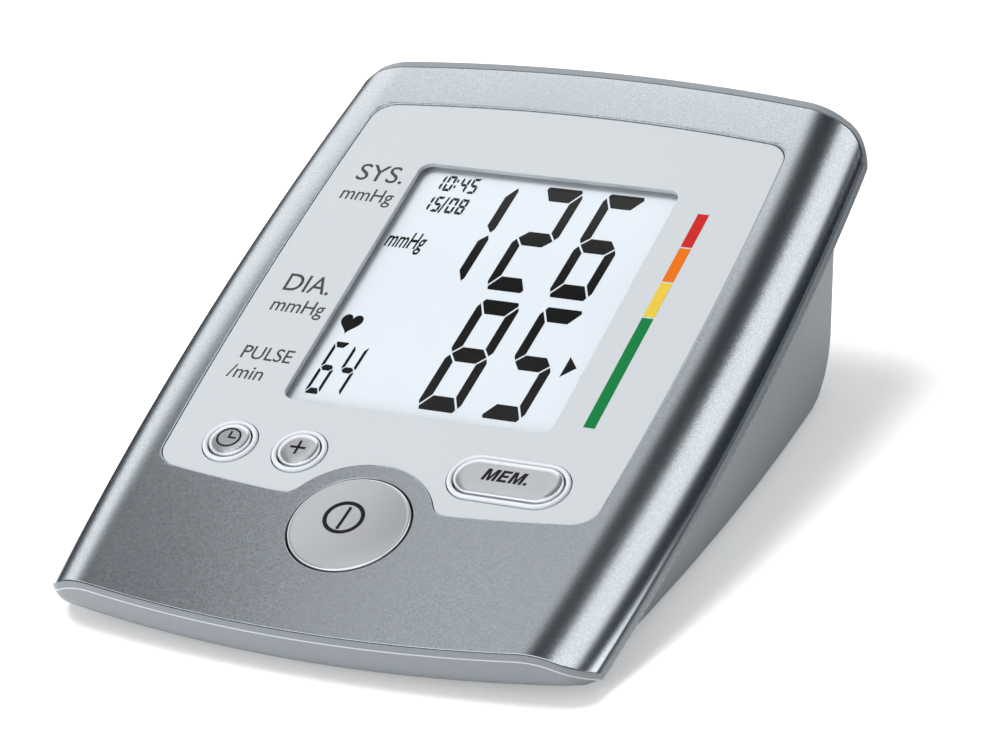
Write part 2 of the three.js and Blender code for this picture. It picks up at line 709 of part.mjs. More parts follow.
// A domed cap with a stem that ends above its switch, and a flange under the cover that keeps it in
function smallButton(button) {
  const rim = -PANEL_SINK + COLLAR_RISE - CAP_SINK;
  const capAt = (inset, w) => atLevel(
    stadium(button.u, SMALL_ROW, button.radius - inset, button.straight), w);
  const dome = Array.from({ length: DOME_STEPS }, (_, i) => {
    const t = i / DOME_STEPS;
    return capAt(button.radius * t, rim + SMALL_DOME * Math.sqrt(1 - (1 - t) ** 2));
  });
  const cap = loft([capAt(0, FLANGE_LOW), ...dome], flatXY);
  const flange = prism(
    stadium(button.u, SMALL_ROW, button.radius + FLANGE_LAP, button.straight),
    FLANGE_LOW, FLANGE_HIGH);
  return join(cap, flange, rod(button.u, SMALL_ROW, STEM_LOW, FLANGE_HIGH, STEM_RADIUS, SMALL));
}

function startButton() {
  const sphere = (START_RADIUS ** 2 + START_DOME ** 2) / (2 * START_DOME);
  const dome = Array.from({ length: DOME_STEPS + 1 }, (_, i) => {
    const r = START_RADIUS * (1 - i / DOME_STEPS);
    return [r, START_EDGE + START_DOME - sphere + Math.sqrt(sphere ** 2 - r ** 2)];
  });
  return turned([
    [0, STEM_LOW],
    [STEM_RADIUS, STEM_LOW],
    [STEM_RADIUS, FLANGE_LOW],
    [START_RADIUS + FLANGE_LAP, FLANGE_LOW],
    [START_RADIUS + FLANGE_LAP, FLANGE_HIGH],
    [START_RADIUS, FLANGE_HIGH],
    ...dome,
  ], 0, START_AT);
}

function tactSwitch(u, v) {
  const half = SWITCH_SIZE / 2;
  return join(
    block(u - half, u + half, v - half, v + half, SWITCH_LOW, SWITCH_LOW + SWITCH_HEIGHT),
    rod(u, v, SWITCH_LOW + SWITCH_HEIGHT - ROOT, PLUNGER_HIGH, PLUNGER_RADIUS, SMALL));
}

// The frame that holds the display over the board, shallower where it passes the board's end
function displayHolder() {
  const high = GLASS_HIGH;
  const low = BOARD_HIGH - CLEAR;
  const lap = HOLDER_HALF - VIEW_HALF;
  const inside = GLASS_LAP + FIT;
  const frame = prism(viewBox(lap), BOARD_HIGH + FIT, high);
  const well = prism(viewBox(inside), GLASS_LOW - FIT, high + CLEAR);
  const open = VIEW_HALF - LEDGE_LAP;
  const ledge = VIEW_FRONT + GLASS_LAP + STRIP_INSET;
  const hollow = prism(
    roundedBox(-open, open, ledge, VIEW_BACK - LEDGE_LAP, VIEW_CORNER), low, high + CLEAR);
  const slot = block(
    -STRIP_HALF - FIT, STRIP_HALF + FIT,
    stripFront() - FIT, stripFront() + STRIP_WIDTH + FIT, low, high + CLEAR);
  const behindBoard = block(
    -HOLDER_HALF - CLEAR, HOLDER_HALF + CLEAR,
    BOARD_BACK + FIT, VIEW_BACK + lap + CLEAR, low, GLASS_LOW - FIT - HOLDER_LEDGE);
  return cut(frame, well, hollow, slot, behindBoard);
}

const stripFront = () => VIEW_FRONT - GLASS_LAP + STRIP_INSET;

function mainBoard() {
  return prism(
    roundedBox(-BOARD_HALF, BOARD_HALF, BOARD_FRONT, BOARD_BACK, BOARD_CORNER),
    BOARD_LOW, BOARD_HIGH);
}

const SENSOR_HIGH = BOARD_LOW - FIT;
const SENSOR_BACK = SENSOR_AT.v + SENSOR_SIZE.v / 2;
const SENSOR_PORT = SENSOR_HIGH - SENSOR_SIZE.w / 2;

function pressureSensor() {
  const { u: du, v: dv, w: dw } = SENSOR_SIZE;
  const { u, v } = SENSOR_AT;
  return join(
    block(u - du / 2, u + du / 2, v - dv / 2, v + dv / 2, SENSOR_HIGH - dw, SENSOR_HIGH),
    barY(u, SENSOR_BACK - ROOT, SENSOR_BACK + NOZZLE_LENGTH, SENSOR_PORT, NOZZLE_RADIUS, SMALL));
}

// A level loop of the base's plan
function baseLoop(inset, z, heel) {
  const form = { ...BASE, half: baseWidest(z), back: BASE.back - heel };
  return atLevel(bowed(form, even(-inset)), z);
}

const baseWidest = (z) => BASE.half + SIDE_DRAFT * (z - BASE_LIFT);

// Half the base's width at a place along it and a height
function baseHalf(y, z) {
  return baseWidest(z) - BASE.sideBow + Math.sqrt(BASE.sideBow ** 2 - (y - BASE.widestAt) ** 2);
}

// The drafted body of the base above a floor, with its heel rounded behind
function baseBody(inset, floor) {
  const radius = HEEL_RADIUS - inset;
  const loops = Array.from({ length: CORNER_STEPS + 1 }, (_, i) => {
    const turn = (Math.PI / 2) * (i / CORNER_STEPS);
    return baseLoop(inset, floor + radius * (1 - Math.cos(turn)), radius * (1 - Math.sin(turn)));
  });
  return loft([...loops, baseLoop(inset, HEIGHT_LIMIT, 0)], flatXY);
}

const CELLS = Array.from({ length: CELL_COUNT }, (_, i) => (
  { x: (i - (CELL_COUNT - 1) / 2) * CELL_PITCH, forward: i % 2 === 0 }));
const RECESS_HALF = BAY_HALF + DOOR_LAP;
const RECESS_FRONT = BAY_FRONT - DOOR_LAP;
const RECESS_BACK = BAY_BACK + DOOR_LAP;
const AXLE = { y: RECESS_FRONT + FIT + AXLE_RISE, z: DOOR_LOW + AXLE_RISE };

// A bar of the face frame turned into the standing object's frame
function slantedRod(u, v, low, high, radius, sides = ROUND) {
  const geometry = new THREE.CylinderGeometry(radius, radius, high - low, sides);
  geometry.rotateX(Math.PI / 2).translate(u, v, (low + high) / 2);
  return toSolid(geometry.applyMatrix4(faceMatrix()));
}

function faceMatrix() {
  return new THREE.Matrix4()
    .makeRotationX(TILT)
    .setPosition(0, 0, FACE_LIFT);
}

const SOCKET_FACE = -baseHalf(SOCKET_AT.y, SOCKET_AT.z);

function baseHousing() {
  const below = block(
    -2 * HALF_WIDTH, 2 * HALF_WIDTH, -FACE_LENGTH, 2 * FACE_LENGTH, -FACE_LENGTH, POST_HIGH);
  const outer = baseBody(0, BASE_LIFT).intersect(below.transform(faceMatrix().toArray()));
  const shell = outer.subtract(baseBody(BASE_WALL, BASE_LIFT + BASE_WALL));
  const bay = block(
    -BAY_HALF - BAY_WALL, BAY_HALF + BAY_WALL,
    BAY_FRONT - BAY_WALL, BAY_BACK + BAY_WALL, BAY_LOW, BAY_TOP);
  const surround = block(
    -RECESS_HALF - BAY_WALL, RECESS_HALF + BAY_WALL,
    RECESS_FRONT - BAY_WALL, RECESS_BACK + BAY_WALL, BASE_LIFT, BAY_LOW + BAY_WALL);
  const latchHalf = LATCH_WIDTH / 2 + 2 * FIT;
  const latchBack = RECESS_BACK + LATCH_THICK + LATCH_ROOM;
  const latchBox = block(
    -latchHalf - BAY_WALL, latchHalf + BAY_WALL,
    RECESS_BACK, latchBack + BAY_WALL, BASE_LIFT, BAY_LOW + LATCH_HEIGHT + BAY_WALL);
  const hingeBox = block(
    -RECESS_HALF - AXLE_LENGTH - BAY_WALL, RECESS_HALF + AXLE_LENGTH + BAY_WALL,
    AXLE.y - HINGE_BOX, AXLE.y + HINGE_BOX, BASE_LIFT, AXLE.z + HINGE_BOX);
  const posts = POSTS.map(({ u, v }) => (
    slantedRod(u, v, -HEIGHT_LIMIT, POST_HIGH, POST_RADIUS, MEDIUM).intersect(outer)));
  const wellTop = POST_HIGH - POST_CAP;
  const wells = POSTS.map(({ u, v }) => (
    slantedRod(u, v, -HEIGHT_LIMIT, wellTop, POST_BORE, MEDIUM)));
  const holes = POSTS.map(({ u, v }) => slantedRod(u, v, -HEIGHT_LIMIT, 0, SCREW_HOLE, SMALL));
  const solid = join(shell, bay, surround, latchBox, hingeBox, ...posts);
  const cavity = block(-BAY_HALF, BAY_HALF, BAY_FRONT, BAY_BACK, 0, BAY_ROOF);
  const ribs = CELLS.slice(1).map((cell) => {
    const x = cell.x - CELL_PITCH / 2;
    return block(x - RIB_WIDTH / 2, x + RIB_WIDTH / 2,
      BAY_FRONT + RIB_END, BAY_BACK - RIB_END, BAY_ROOF - RIB_HEIGHT, BAY_ROOF + BAY_WALL / 2);
  });
  const doorway = block(-RECESS_HALF, RECESS_HALF, RECESS_FRONT, RECESS_BACK, 0, BAY_LOW);
  const axleHole = barX(
    -RECESS_HALF - AXLE_LENGTH - FIT, RECESS_HALF + AXLE_LENGTH + FIT,
    AXLE.y, AXLE.z, AXLE_RADIUS + FIT, SMALL);
  const groove = barX(-RECESS_HALF, RECESS_HALF, AXLE.y, AXLE.z, AXLE_RISE + FIT, MEDIUM);
  const latchWell = block(
    -latchHalf, latchHalf, RECESS_BACK - ROOT, latchBack, 0, BAY_LOW + LATCH_HEIGHT);
  const footSeats = footPlaces().map(({ x, y }) => (
    rod(x, y, 0, BASE_LIFT + FOOT_SEAT + FIT, FOOT_RADIUS + FIT, MEDIUM)));
  const socketHole = barX(SOCKET_FACE - BASE_WALL, SOCKET_FACE + 2 * BASE_WALL,
    SOCKET_AT.y, SOCKET_AT.z, SOCKET_RADIUS + FIT, MEDIUM);
  const opened = cut(solid, cavity, doorway, axleHole, groove, latchWell,
    ...wells, ...holes, ...footSeats, socketHole);
  return join(opened, ...ribs);
}

function footPlaces() {
  return [FRONT_FOOT, BACK_FOOT].flatMap(({ x, y }) => [{ x: -x, y }, { x, y }]);
}

function foot({ x, y }) {
  const high = BASE_LIFT + FOOT_SEAT;
  return join(
    rod(x, y, FIT, high, FOOT_RADIUS, MEDIUM),
    rod(x, y, 0, FIT, FOOT_RADIUS - FIT, MEDIUM, FOOT_RADIUS));
}

function batteryDoor() {
  const half = RECESS_HALF - FIT;
  const back = RECESS_BACK - FIT;
  const top = Math.PI - Math.asin((DOOR_HIGH - AXLE.z) / AXLE_RISE);
  const profile = [
    new THREE.Vector2(back, DOOR_LOW),
    new THREE.Vector2(back, DOOR_HIGH),
    ...arc(AXLE.y, AXLE.z, AXLE_RISE, top, Math.PI * 1.5, CORNER_STEPS),
  ];
  const geometry = new THREE.ExtrudeGeometry(new THREE.Shape(profile), {
    depth: 2 * half,
    bevelEnabled: false,
  });
  geometry.rotateX(Math.PI / 2).rotateZ(Math.PI / 2).translate(-half, 0, 0);
  const plate = toSolid(geometry);
  const axle = barX(-RECESS_HALF - AXLE_LENGTH, RECESS_HALF + AXLE_LENGTH, AXLE.y, AXLE.z,
    AXLE_RADIUS, SMALL);
  const tongue = block(-LATCH_WIDTH / 2, LATCH_WIDTH / 2, back - TONGUE_ROOT, back + LATCH_THICK,
    DOOR_LOW, DOOR_HIGH);
  const hook = block(-LATCH_WIDTH / 2, LATCH_WIDTH / 2, back, back + LATCH_THICK,
    DOOR_LOW, DOOR_HIGH + LATCH_HEIGHT - 2 * FIT);
  const grips = Array.from({ length: GRIP_COUNT }, (_, i) => {
    const y = back - GRIP_EDGE - i * GRIP_PITCH;
    return block(-GRIP_LENGTH / 2, GRIP_LENGTH / 2, y - GRIP_WIDTH, y, DOOR_LOW - CLEAR,
      DOOR_LOW + GRIP_DEPTH);
  });
  return cut(join(plate, axle, tongue, hook), ...grips);
}

// Where each cell's nub end and tail end lie along y
function cellEnds(cell) {
  const nub = cell.forward ? BAY_FRONT + CELL_FRONT_GAP : BAY_BACK - CELL_FRONT_GAP;
  const shoulder = cell.forward ? nub + NUB_LENGTH : nub - NUB_LENGTH;
  const tail = cell.forward ? shoulder + CELL_LENGTH : shoulder - CELL_LENGTH;
  return { nub, shoulder, tail };
}

function battery(cell) {
  const { nub, shoulder, tail } = cellEnds(cell);
  return join(
    barY(cell.x, Math.min(shoulder, tail), Math.max(shoulder, tail), CELL_Z, CELL_RADIUS),
    barY(cell.x, Math.min(nub, shoulder - ROOT), Math.max(nub, shoulder + ROOT), CELL_Z,
      NUB_RADIUS, SMALL));
}

// A contact plate against one end wall of the bay, spanning one cell or two
function contactPlate(first, last, atFront) {
  const wall = atFront ? BAY_FRONT + FIT : BAY_BACK - FIT;
  const inner = atFront ? wall + PLATE_THICK : wall - PLATE_THICK;
  const x0 = first.x - PLATE_HALF;
  const x1 = last.x + PLATE_HALF;
  return block(x0, x1, Math.min(wall, inner), Math.max(wall, inner),
    CELL_Z - PLATE_HALF, CELL_Z + PLATE_HALF);
}

// A conical coil of round wire between a cell's tail and its plate
class ConeCoil extends THREE.Curve {
  constructor(x, from, to) {
    super();
    Object.assign(this, { x, from, to });
  }

  getPoint(t, target = new THREE.Vector3()) {
    const turn = 2 * Math.PI * SPRING_TURNS * t;
    const radius = THREE.MathUtils.lerp(SPRING_WIDE, SPRING_NARROW, t);
    return target.set(
      this.x + radius * Math.cos(turn),
      THREE.MathUtils.lerp(this.from, this.to, t),
      CELL_Z + radius * Math.sin(turn));
  }
}

function contactSpring(cell) {
  const { tail } = cellEnds(cell);
  const side = cell.forward ? 1 : -1;
  const plate = cell.forward ? BAY_BACK - FIT - PLATE_THICK : BAY_FRONT + FIT + PLATE_THICK;
  const from = plate - side * (FIT + SPRING_WIRE);
  const to = tail + side * (FIT + SPRING_WIRE);
  const section = new THREE.Shape(arc(0, 0, SPRING_WIRE, 0, 2 * Math.PI, SPRING_SIDES).slice(1));
  return toSolid(new THREE.ExtrudeGeometry(section, {
    steps: SPRING_TURNS * SPRING_STEPS,
    bevelEnabled: false,
    extrudePath: new ConeCoil(cell.x, from, to),
  }));
}

function caseScrew({ u, v }) {
  const headHigh = POST_HIGH - POST_CAP - FIT;
  return join(
    rod(u, v, headHigh - HEAD_THICK, headHigh, SCREW_HEAD, MEDIUM),
    rod(u, v, headHigh - ROOT, headHigh + SCREW_LENGTH, SCREW_RADIUS, SMALL));
}

const HEAD_RIGHT = PUMP_RIGHT - MOTOR_LENGTH - FIT;
const HEAD_LEFT = HEAD_RIGHT - HEAD_LENGTH;

function pumpMotor() {
  return join(
    barX(PUMP_RIGHT - MOTOR_LENGTH, PUMP_RIGHT, PUMP_AT.y, PUMP_AT.z, MOTOR_RADIUS),
    barX(PUMP_RIGHT - ROOT, PUMP_RIGHT + BEARING_LENGTH, PUMP_AT.y, PUMP_AT.z, BEARING_RADIUS,
      SMALL));
}

function pumpHead() {
  const side = HEAD_SIDE;
  return join(
    block(HEAD_LEFT, HEAD_RIGHT, PUMP_AT.y - side, PUMP_AT.y + side,
      PUMP_AT.z - side, PUMP_AT.z + side),
    barX(HEAD_LEFT - NOZZLE_LENGTH, HEAD_LEFT + ROOT, PUMP_AT.y, PUMP_AT.z, NOZZLE_RADIUS, SMALL));
}

// A foam cradle on the roof of the bay that carries the pump
function pumpSaddle() {
  const low = BAY_TOP + FIT;
  const x0 = PUMP_RIGHT - SADDLE_LENGTH;
  const bed = block(x0, PUMP_RIGHT, PUMP_AT.y - SADDLE_WIDTH / 2, PUMP_AT.y + SADDLE_WIDTH / 2,
    low, PUMP_AT.z - SADDLE_BELOW_AXIS);
  return cut(bed,
    barX(x0 - CLEAR, PUMP_RIGHT + CLEAR, PUMP_AT.y, PUMP_AT.z, MOTOR_RADIUS + FIT),
    block(x0 - CLEAR, HEAD_RIGHT + FIT, PUMP_AT.y - HEAD_SIDE - FIT, PUMP_AT.y + HEAD_SIDE + FIT,
      PUMP_AT.z - HEAD_SIDE - FIT, PUMP_AT.z));
}

const VALVE_LOW = BAY_TOP + FIT;
const VALVE_MID = VALVE_LOW + VALVE_SIZE.z / 2;

function releaseValve() {
  const { x: dx, y: dy, z: dz } = VALVE_SIZE;
  const { x, y } = VALVE_AT;
  return join(
    block(x - dx / 2, x + dx / 2, y - dy / 2, y + dy / 2, VALVE_LOW, VALVE_LOW + dz),
    barY(x, y - dy / 2 - NOZZLE_LENGTH, y + dy / 2 + NOZZLE_LENGTH, VALVE_MID, NOZZLE_RADIUS,
      SMALL),
    barX(x - dx / 2 - NOZZLE_LENGTH, x, y, VALVE_MID, NOZZLE_RADIUS, SMALL));
}

// A soft hose with an open bore that slips over the nozzle at each end
function hose(points) {
  const wall = new THREE.Shape(arc(0, 0, HOSE_RADIUS, 0, 2 * Math.PI, HOSE_SIDES).slice(1));
  wall.holes.push(new THREE.Path(arc(0, 0, HOSE_BORE, 0, 2 * Math.PI, BORE_SIDES).slice(1)));
  return toSolid(new THREE.ExtrudeGeometry(wall, {
    steps: HOSE_STEPS,
    bevelEnabled: false,
    extrudePath: new THREE.CatmullRomCurve3(points),
  }));
}

// The straight start of a hose: from a face along a direction
function lead(x, y, z, dx, dy, dz) {
  return [FIT, FIT + HOSE_LEAD / 2, FIT + HOSE_LEAD].map((d) => (
    new THREE.Vector3(x + d * dx, y + d * dy, z + d * dz)));
}

function pumpHose() {
  return hose([
    ...lead(HEAD_LEFT, PUMP_AT.y, PUMP_AT.z, -1, 0, 0),
    ...lead(VALVE_AT.x, VALVE_AT.y + VALVE_SIZE.y / 2, VALVE_MID, 0, 1, 0).reverse(),
  ]);
}

const SOCKET_INNER = SOCKET_FACE - SOCKET_PROUD + SOCKET_DEPTH + SOCKET_END;

function socketHose() {
  return hose([
    ...lead(VALVE_AT.x - VALVE_SIZE.x / 2, VALVE_AT.y, VALVE_MID, -1, 0, 0),
    ...lead(SOCKET_INNER, SOCKET_AT.y, SOCKET_AT.z, 1, 0, 0).reverse(),
  ]);
}

function sensorHose() {
  return hose([
    ...lead(SENSOR_AT.u, 0, 0, 0, 1, 0).map((p) => (
      faceToWorld(p.x, SENSOR_BACK + p.y, SENSOR_PORT))),
    faceToWorld(SENSOR_AT.u, SENSOR_AT.v + SENSOR_RUN, SENSOR_PORT),
    ...lead(VALVE_AT.x, VALVE_AT.y - VALVE_SIZE.y / 2, VALVE_MID, 0, -1, 0).reverse(),
  ]);
}

function airSocket() {
  const outerEnd = SOCKET_FACE - SOCKET_PROUD;
  const flange = SOCKET_FACE + BASE_WALL + FIT + SIDE_DRAFT * SOCKET_FLANGE;
  const { y, z } = SOCKET_AT;
  const body = join(
    barX(outerEnd, SOCKET_INNER, y, z, SOCKET_RADIUS, MEDIUM),
    barX(flange, flange + SOCKET_FLANGE_THICK, y, z, SOCKET_FLANGE, MEDIUM),
    barX(SOCKET_INNER - ROOT, SOCKET_INNER + NOZZLE_LENGTH, y, z, NOZZLE_RADIUS, SMALL));
  return body.subtract(
    barX(outerEnd - CLEAR, outerEnd + SOCKET_DEPTH, y, z, SOCKET_BORE, MEDIUM));
}

const slab = new THREE.Group();
slab.rotation.x = TILT;
slab.position.set(0, -MID_Y, FACE_LIFT);
slab.add(
  toMesh('top_cover', topCover(), FINISHES.silver()),
  toMesh('mid_frame', midFrame(), FINISHES.rimGrey()),
  toMesh('face_panel', facePanel(), FINISHES.panel()),
  toMesh('display_window', prism(viewBox(LENS_LAP), LENS_LOW, LENS_HIGH), FINISHES.lens()),
  toMesh('display_glass', prism(viewBox(GLASS_LAP), GLASS_LOW, GLASS_HIGH), FINISHES.lcd()),
  toMesh('display_holder', displayHolder(), FINISHES.natural()),
  toMesh('contact_strip', block(-STRIP_HALF, STRIP_HALF, stripFront(), stripFront() + STRIP_WIDTH,
    BOARD_HIGH + FIT, GLASS_LOW - FIT), FINISHES.rubber()),
  toMesh('main_board', mainBoard(), FINISHES.board()),
  toMesh('pressure_sensor', pressureSensor(), FINISHES.black()),
  toMesh('start_button', startButton(), FINISHES.button()),
  toMesh('start_switch', tactSwitch(0, START_AT), FINISHES.black()),
);
SMALL_BUTTONS.forEach((button) => {
  slab.add(
    toMesh(`${button.key}_collar`, collar(button), FINISHES.white()),
    toMesh(`${button.key}_button`, smallButton(button), FINISHES.button()),
    toMesh(`${button.key}_switch`, tactSwitch(button.u, SMALL_ROW), FINISHES.black()),
  );
});
POSTS.forEach((place, i) => {
  slab.add(toMesh(`case_screw_${i + 1}`, caseScrew(place), FINISHES.metal()));
});

const base = new THREE.Group();
base.position.set(0, -MID_Y, 0);
base.add(
  toMesh('base_housing', baseHousing(), FINISHES.baseGrey()),
  toMesh('battery_door', batteryDoor(), FINISHES.baseGrey()),
  toMesh('pump_motor', pumpMotor(), FINISHES.metal()),
  toMesh('pump_head', pumpHead(), FINISHES.black()),
  toMesh('pump_saddle', pumpSaddle(), FINISHES.rubber()),
  toMesh('release_valve', releaseValve(), FINISHES.black()),
  toMesh('pump_hose', pumpHose(), FINISHES.natural()),
  toMesh('socket_hose', socketHose(), FINISHES.natural()),
  toMesh('sensor_hose', sensorHose(), FINISHES.natural()),
  toMesh('air_socket', airSocket(), FINISHES.rimGrey()),
);
CELLS.forEach((cell, i) => {
  base.add(
    toMesh(`battery_${i + 1}`, battery(cell), FINISHES.cell()),
    toMesh(`contact_spring_${i + 1}`, contactSpring(cell), FINISHES.metal()),
  );
});
const [cellA, cellB, cellC, cellD] = CELLS;
const PLATES = [
  ['contact_front_left', cellA, cellB, true],
  ['contact_front_right', cellC, cellD, true],
  ['contact_rear_left', cellA, cellA, false],
  ['contact_rear_middle', cellB, cellC, false],
  ['contact_rear_right', cellD, cellD, false],
];
PLATES.forEach(([name, first, last, atFront]) => {
  base.add(toMesh(name, contactPlate(first, last, atFront), FINISHES.metal()));
});
['front_left', 'front_right', 'rear_left', 'rear_right'].forEach((place, i) => {
  base.add(toMesh(`foot_${place}`, foot(footPlaces()[i]), FINISHES.rubber()));
});

const monitor = new THREE.Group();
monitor.add(slab, base);
monitor.updateMatrixWorld(true);

export default monitor;
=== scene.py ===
# %% [markdown]
# # An upper-arm blood pressure monitor
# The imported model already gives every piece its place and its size. This script gives the
# monitor its looks: smooth formed surfaces over the coarse ones, procedural finishes, the
# digits of the display, the printed words and a plain studio.
# Two sets of axes are used. The standing frame has Z up. The face frame lies on the tilted
# front: u runs to the right, v up the slope and w out of the face. Both count millimetres,
# and one function each turns them into the metres of the scene.

# %% Load the fixed frame
import json
import math

import bmesh
import bpy
import numpy as np
from mathutils import Matrix, Vector
from mathutils.geometry import tessellate_polygon

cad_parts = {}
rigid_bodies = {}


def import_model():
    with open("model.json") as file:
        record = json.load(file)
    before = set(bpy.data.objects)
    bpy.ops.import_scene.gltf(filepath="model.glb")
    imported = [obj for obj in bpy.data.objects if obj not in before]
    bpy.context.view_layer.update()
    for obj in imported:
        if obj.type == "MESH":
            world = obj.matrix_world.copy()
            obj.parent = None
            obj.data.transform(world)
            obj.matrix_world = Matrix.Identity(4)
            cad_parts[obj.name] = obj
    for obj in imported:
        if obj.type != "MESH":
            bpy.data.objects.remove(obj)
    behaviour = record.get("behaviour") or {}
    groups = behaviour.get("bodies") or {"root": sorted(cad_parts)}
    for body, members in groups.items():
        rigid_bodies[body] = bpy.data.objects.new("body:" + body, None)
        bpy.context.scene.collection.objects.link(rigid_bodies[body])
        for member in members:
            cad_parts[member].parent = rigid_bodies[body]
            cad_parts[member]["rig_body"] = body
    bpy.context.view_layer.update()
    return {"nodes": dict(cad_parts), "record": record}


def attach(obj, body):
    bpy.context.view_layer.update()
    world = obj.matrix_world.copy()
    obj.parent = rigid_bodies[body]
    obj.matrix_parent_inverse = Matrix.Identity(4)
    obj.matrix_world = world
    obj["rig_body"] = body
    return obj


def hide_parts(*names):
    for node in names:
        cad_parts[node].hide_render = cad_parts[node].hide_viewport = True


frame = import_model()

# %% [markdown]
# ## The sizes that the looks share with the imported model
# A formed surface has to lie where the coarse one lies, so the leading sizes are repeated
# here: the tilt of the face, the bowed outline of the slab, the rolled sides, the panel
# and the buttons. Each has its own name.

# %% Leading sizes, in millimetres
TILT = math.radians(18.2)
SIN, COS = math.sin(TILT), math.cos(TILT)
FACE_LIFT = 10.6
MID_Y = 77.2123
ROLL_WIDTH = 11.8
ROLL_DROP = 9.5
FIT = 0.3
SLAB = dict(half=60, widest=88, side_bow=905, front=0, front_bow=300, front_corner=6,
            back=159.3, back_bow=371, back_corner=4)
PANEL = dict(half=47.6, widest=88, side_bow=1000, front=33.4, front_bow=300, front_corner=5,
             back=147.1, back_bow=371, back_corner=5)
PANEL_SINK = 0.25
PANEL_THICK = 1.0
VIEW = dict(half=28.9, front=57.9, back=128.4, corner=2.6)
START = dict(v=27.7, radius=12.0, rim=0.35, dish=0.62, notch=16.5, fillet=3.5)
SMALL_ROW = 44.4
SMALL_BUTTONS = {
    "clock": dict(u=-33.7, radius=4.2, straight=0.0),
    "plus": dict(u=-18.5, radius=4.2, straight=0.0),
    "memory": dict(u=26.2, radius=4.5, straight=13.4),
}
COLLAR_WIDTH = 1.05
COLLAR_RISE = 0.45
SMALL_DOME = 0.75


def from_face(u, v, w):
    """Face frame to metres: the face plane is turned by the tilt, lifted and centred."""
    u, v, w = np.broadcast_arrays(np.asarray(u, float), v, w)
    return np.stack([u, v * COS - w * SIN - MID_Y, FACE_LIFT + v * SIN + w * COS], -1) / 1000


def from_stand(x, y, z):
    """Standing frame to metres: only the depth is centred."""
    x, y, z = np.broadcast_arrays(np.asarray(x, float), y, z)
    return np.stack([x, y - MID_Y, z], -1) / 1000


print("face centre in metres:", from_face(0, 80, 0).round(4))

# %% [markdown]
# ## The camera
# The photograph looks down at the monitor from the front right with a long lens. The
# place and the turn were solved from the straight edges of the panel and the display, so
# they are kept as three axes: right, up and back.

# %% Camera
CAMERA_PLACE = (0.358406, -0.666343, 0.387057)
CAMERA_RIGHT = (0.89930583, 0.43003044, -0.07951628)
CAMERA_UP = (-0.12140435, 0.42017375, 0.89928583)
CAMERA_BACK = (0.42013093, -0.79907937, 0.43007227)
camera_data = bpy.data.cameras.new("camera")
camera_data.lens = 153.39
camera_data.sensor_width = 36
camera_data.clip_end = 50
camera = bpy.data.objects.new("camera", camera_data)
axes = zip(CAMERA_RIGHT, CAMERA_UP, CAMERA_BACK, CAMERA_PLACE)
camera.matrix_world = Matrix([*axes, (0, 0, 0, 1)])
bpy.context.scene.collection.objects.link(camera)
bpy.context.scene.camera = camera
print("lens", camera_data.lens)

# %% [markdown]
# ## Shared effects as node groups
# Several finishes share the same small effects. Each effect is built once as a shader
# node group with named sockets, and each finish places it with values of its own.
# The first is the fine grain of a moulded or sprayed skin: noise that moves the roughness
# a little and raises a very low relief. The second is the flake of metallic paint: tiny
# cells, each with its own shade and its own lean. The third is a broad faint cloud that
# keeps a large plain area from looking flat.


# %% A small builder for node groups
SOCKET_KINDS = {"Vector": "Vector", "Normal": "Vector", "Colour": "Color"}


def new_group(name, inputs, outputs):
    """An empty shader group with named sockets: the group, the sockets that bring its
    inputs and the sockets that take its outputs."""
    group = bpy.data.node_groups.new(name, "ShaderNodeTree")
    for way, labels in (("INPUT", inputs), ("OUTPUT", outputs)):
        for label in labels:
            kind = "NodeSocket" + SOCKET_KINDS.get(label, "Float")
            socket = group.interface.new_socket(label, in_out=way, socket_type=kind)
            if way == "INPUT" and inputs[label] is not None:
                socket.default_value = inputs[label]
    brought, taken = group.nodes.new("NodeGroupInput"), group.nodes.new("NodeGroupOutput")
    return group, brought.outputs, taken.inputs


def add_node(tree, kind, settings=None, **links):
    """Adds a node, sets its properties and fills or links its inputs by name."""
    node = tree.nodes.new(kind)
    for key, value in (settings or {}).items():
        setattr(node, key, value)
    for key, value in links.items():
        socket = node.inputs[int(key[1:])] if key[0] == "i" and key[1:].isdigit() \
            else node.inputs[key.replace("_", " ")]
        if isinstance(value, bpy.types.NodeSocket):
            tree.links.new(value, socket)
        else:
            socket.default_value = value
    return node


def math_node(tree, operation, first, second=0.0):
    """One arithmetic step between two values or sockets."""
    return add_node(tree, "ShaderNodeMath", {"operation": operation},
                    i0=first, i1=second).outputs[0]


def vector_step(tree, operation, first, **links):
    """One step with vectors or colours."""
    return add_node(tree, "ShaderNodeVectorMath", {"operation": operation}, i0=first,
                    **links).outputs[0]


def swung(tree, value, amount, middle=1.0):
    """The middle, moved by amount times how far the value lies from one half."""
    centred = math_node(tree, "SUBTRACT", value, 0.5)
    swing = math_node(tree, "MULTIPLY", centred, amount)
    return math_node(tree, "ADD", swing, middle)


# %% The grain of a moulded or sprayed skin
grain, given, result = new_group(
    "skin_grain", dict(Vector=None, Scale=2500.0, Roughness=0.45, Spread=0.06),
    ["Roughness", "Height"])
fine = add_node(grain, "ShaderNodeTexNoise", Vector=given["Vector"], Scale=given["Scale"],
                Detail=2.0, Roughness=0.55)
broad = add_node(grain, "ShaderNodeTexNoise", Vector=given["Vector"], Detail=2.0,
                 Scale=math_node(grain, "MULTIPLY", given["Scale"], 0.02))
doubled = math_node(grain, "MULTIPLY", given["Spread"], 2.0)
varied = swung(grain, broad.outputs["Fac"], doubled, given["Roughness"])
grain.links.new(varied, result["Roughness"])
grain.links.new(fine.outputs["Fac"], result["Height"])

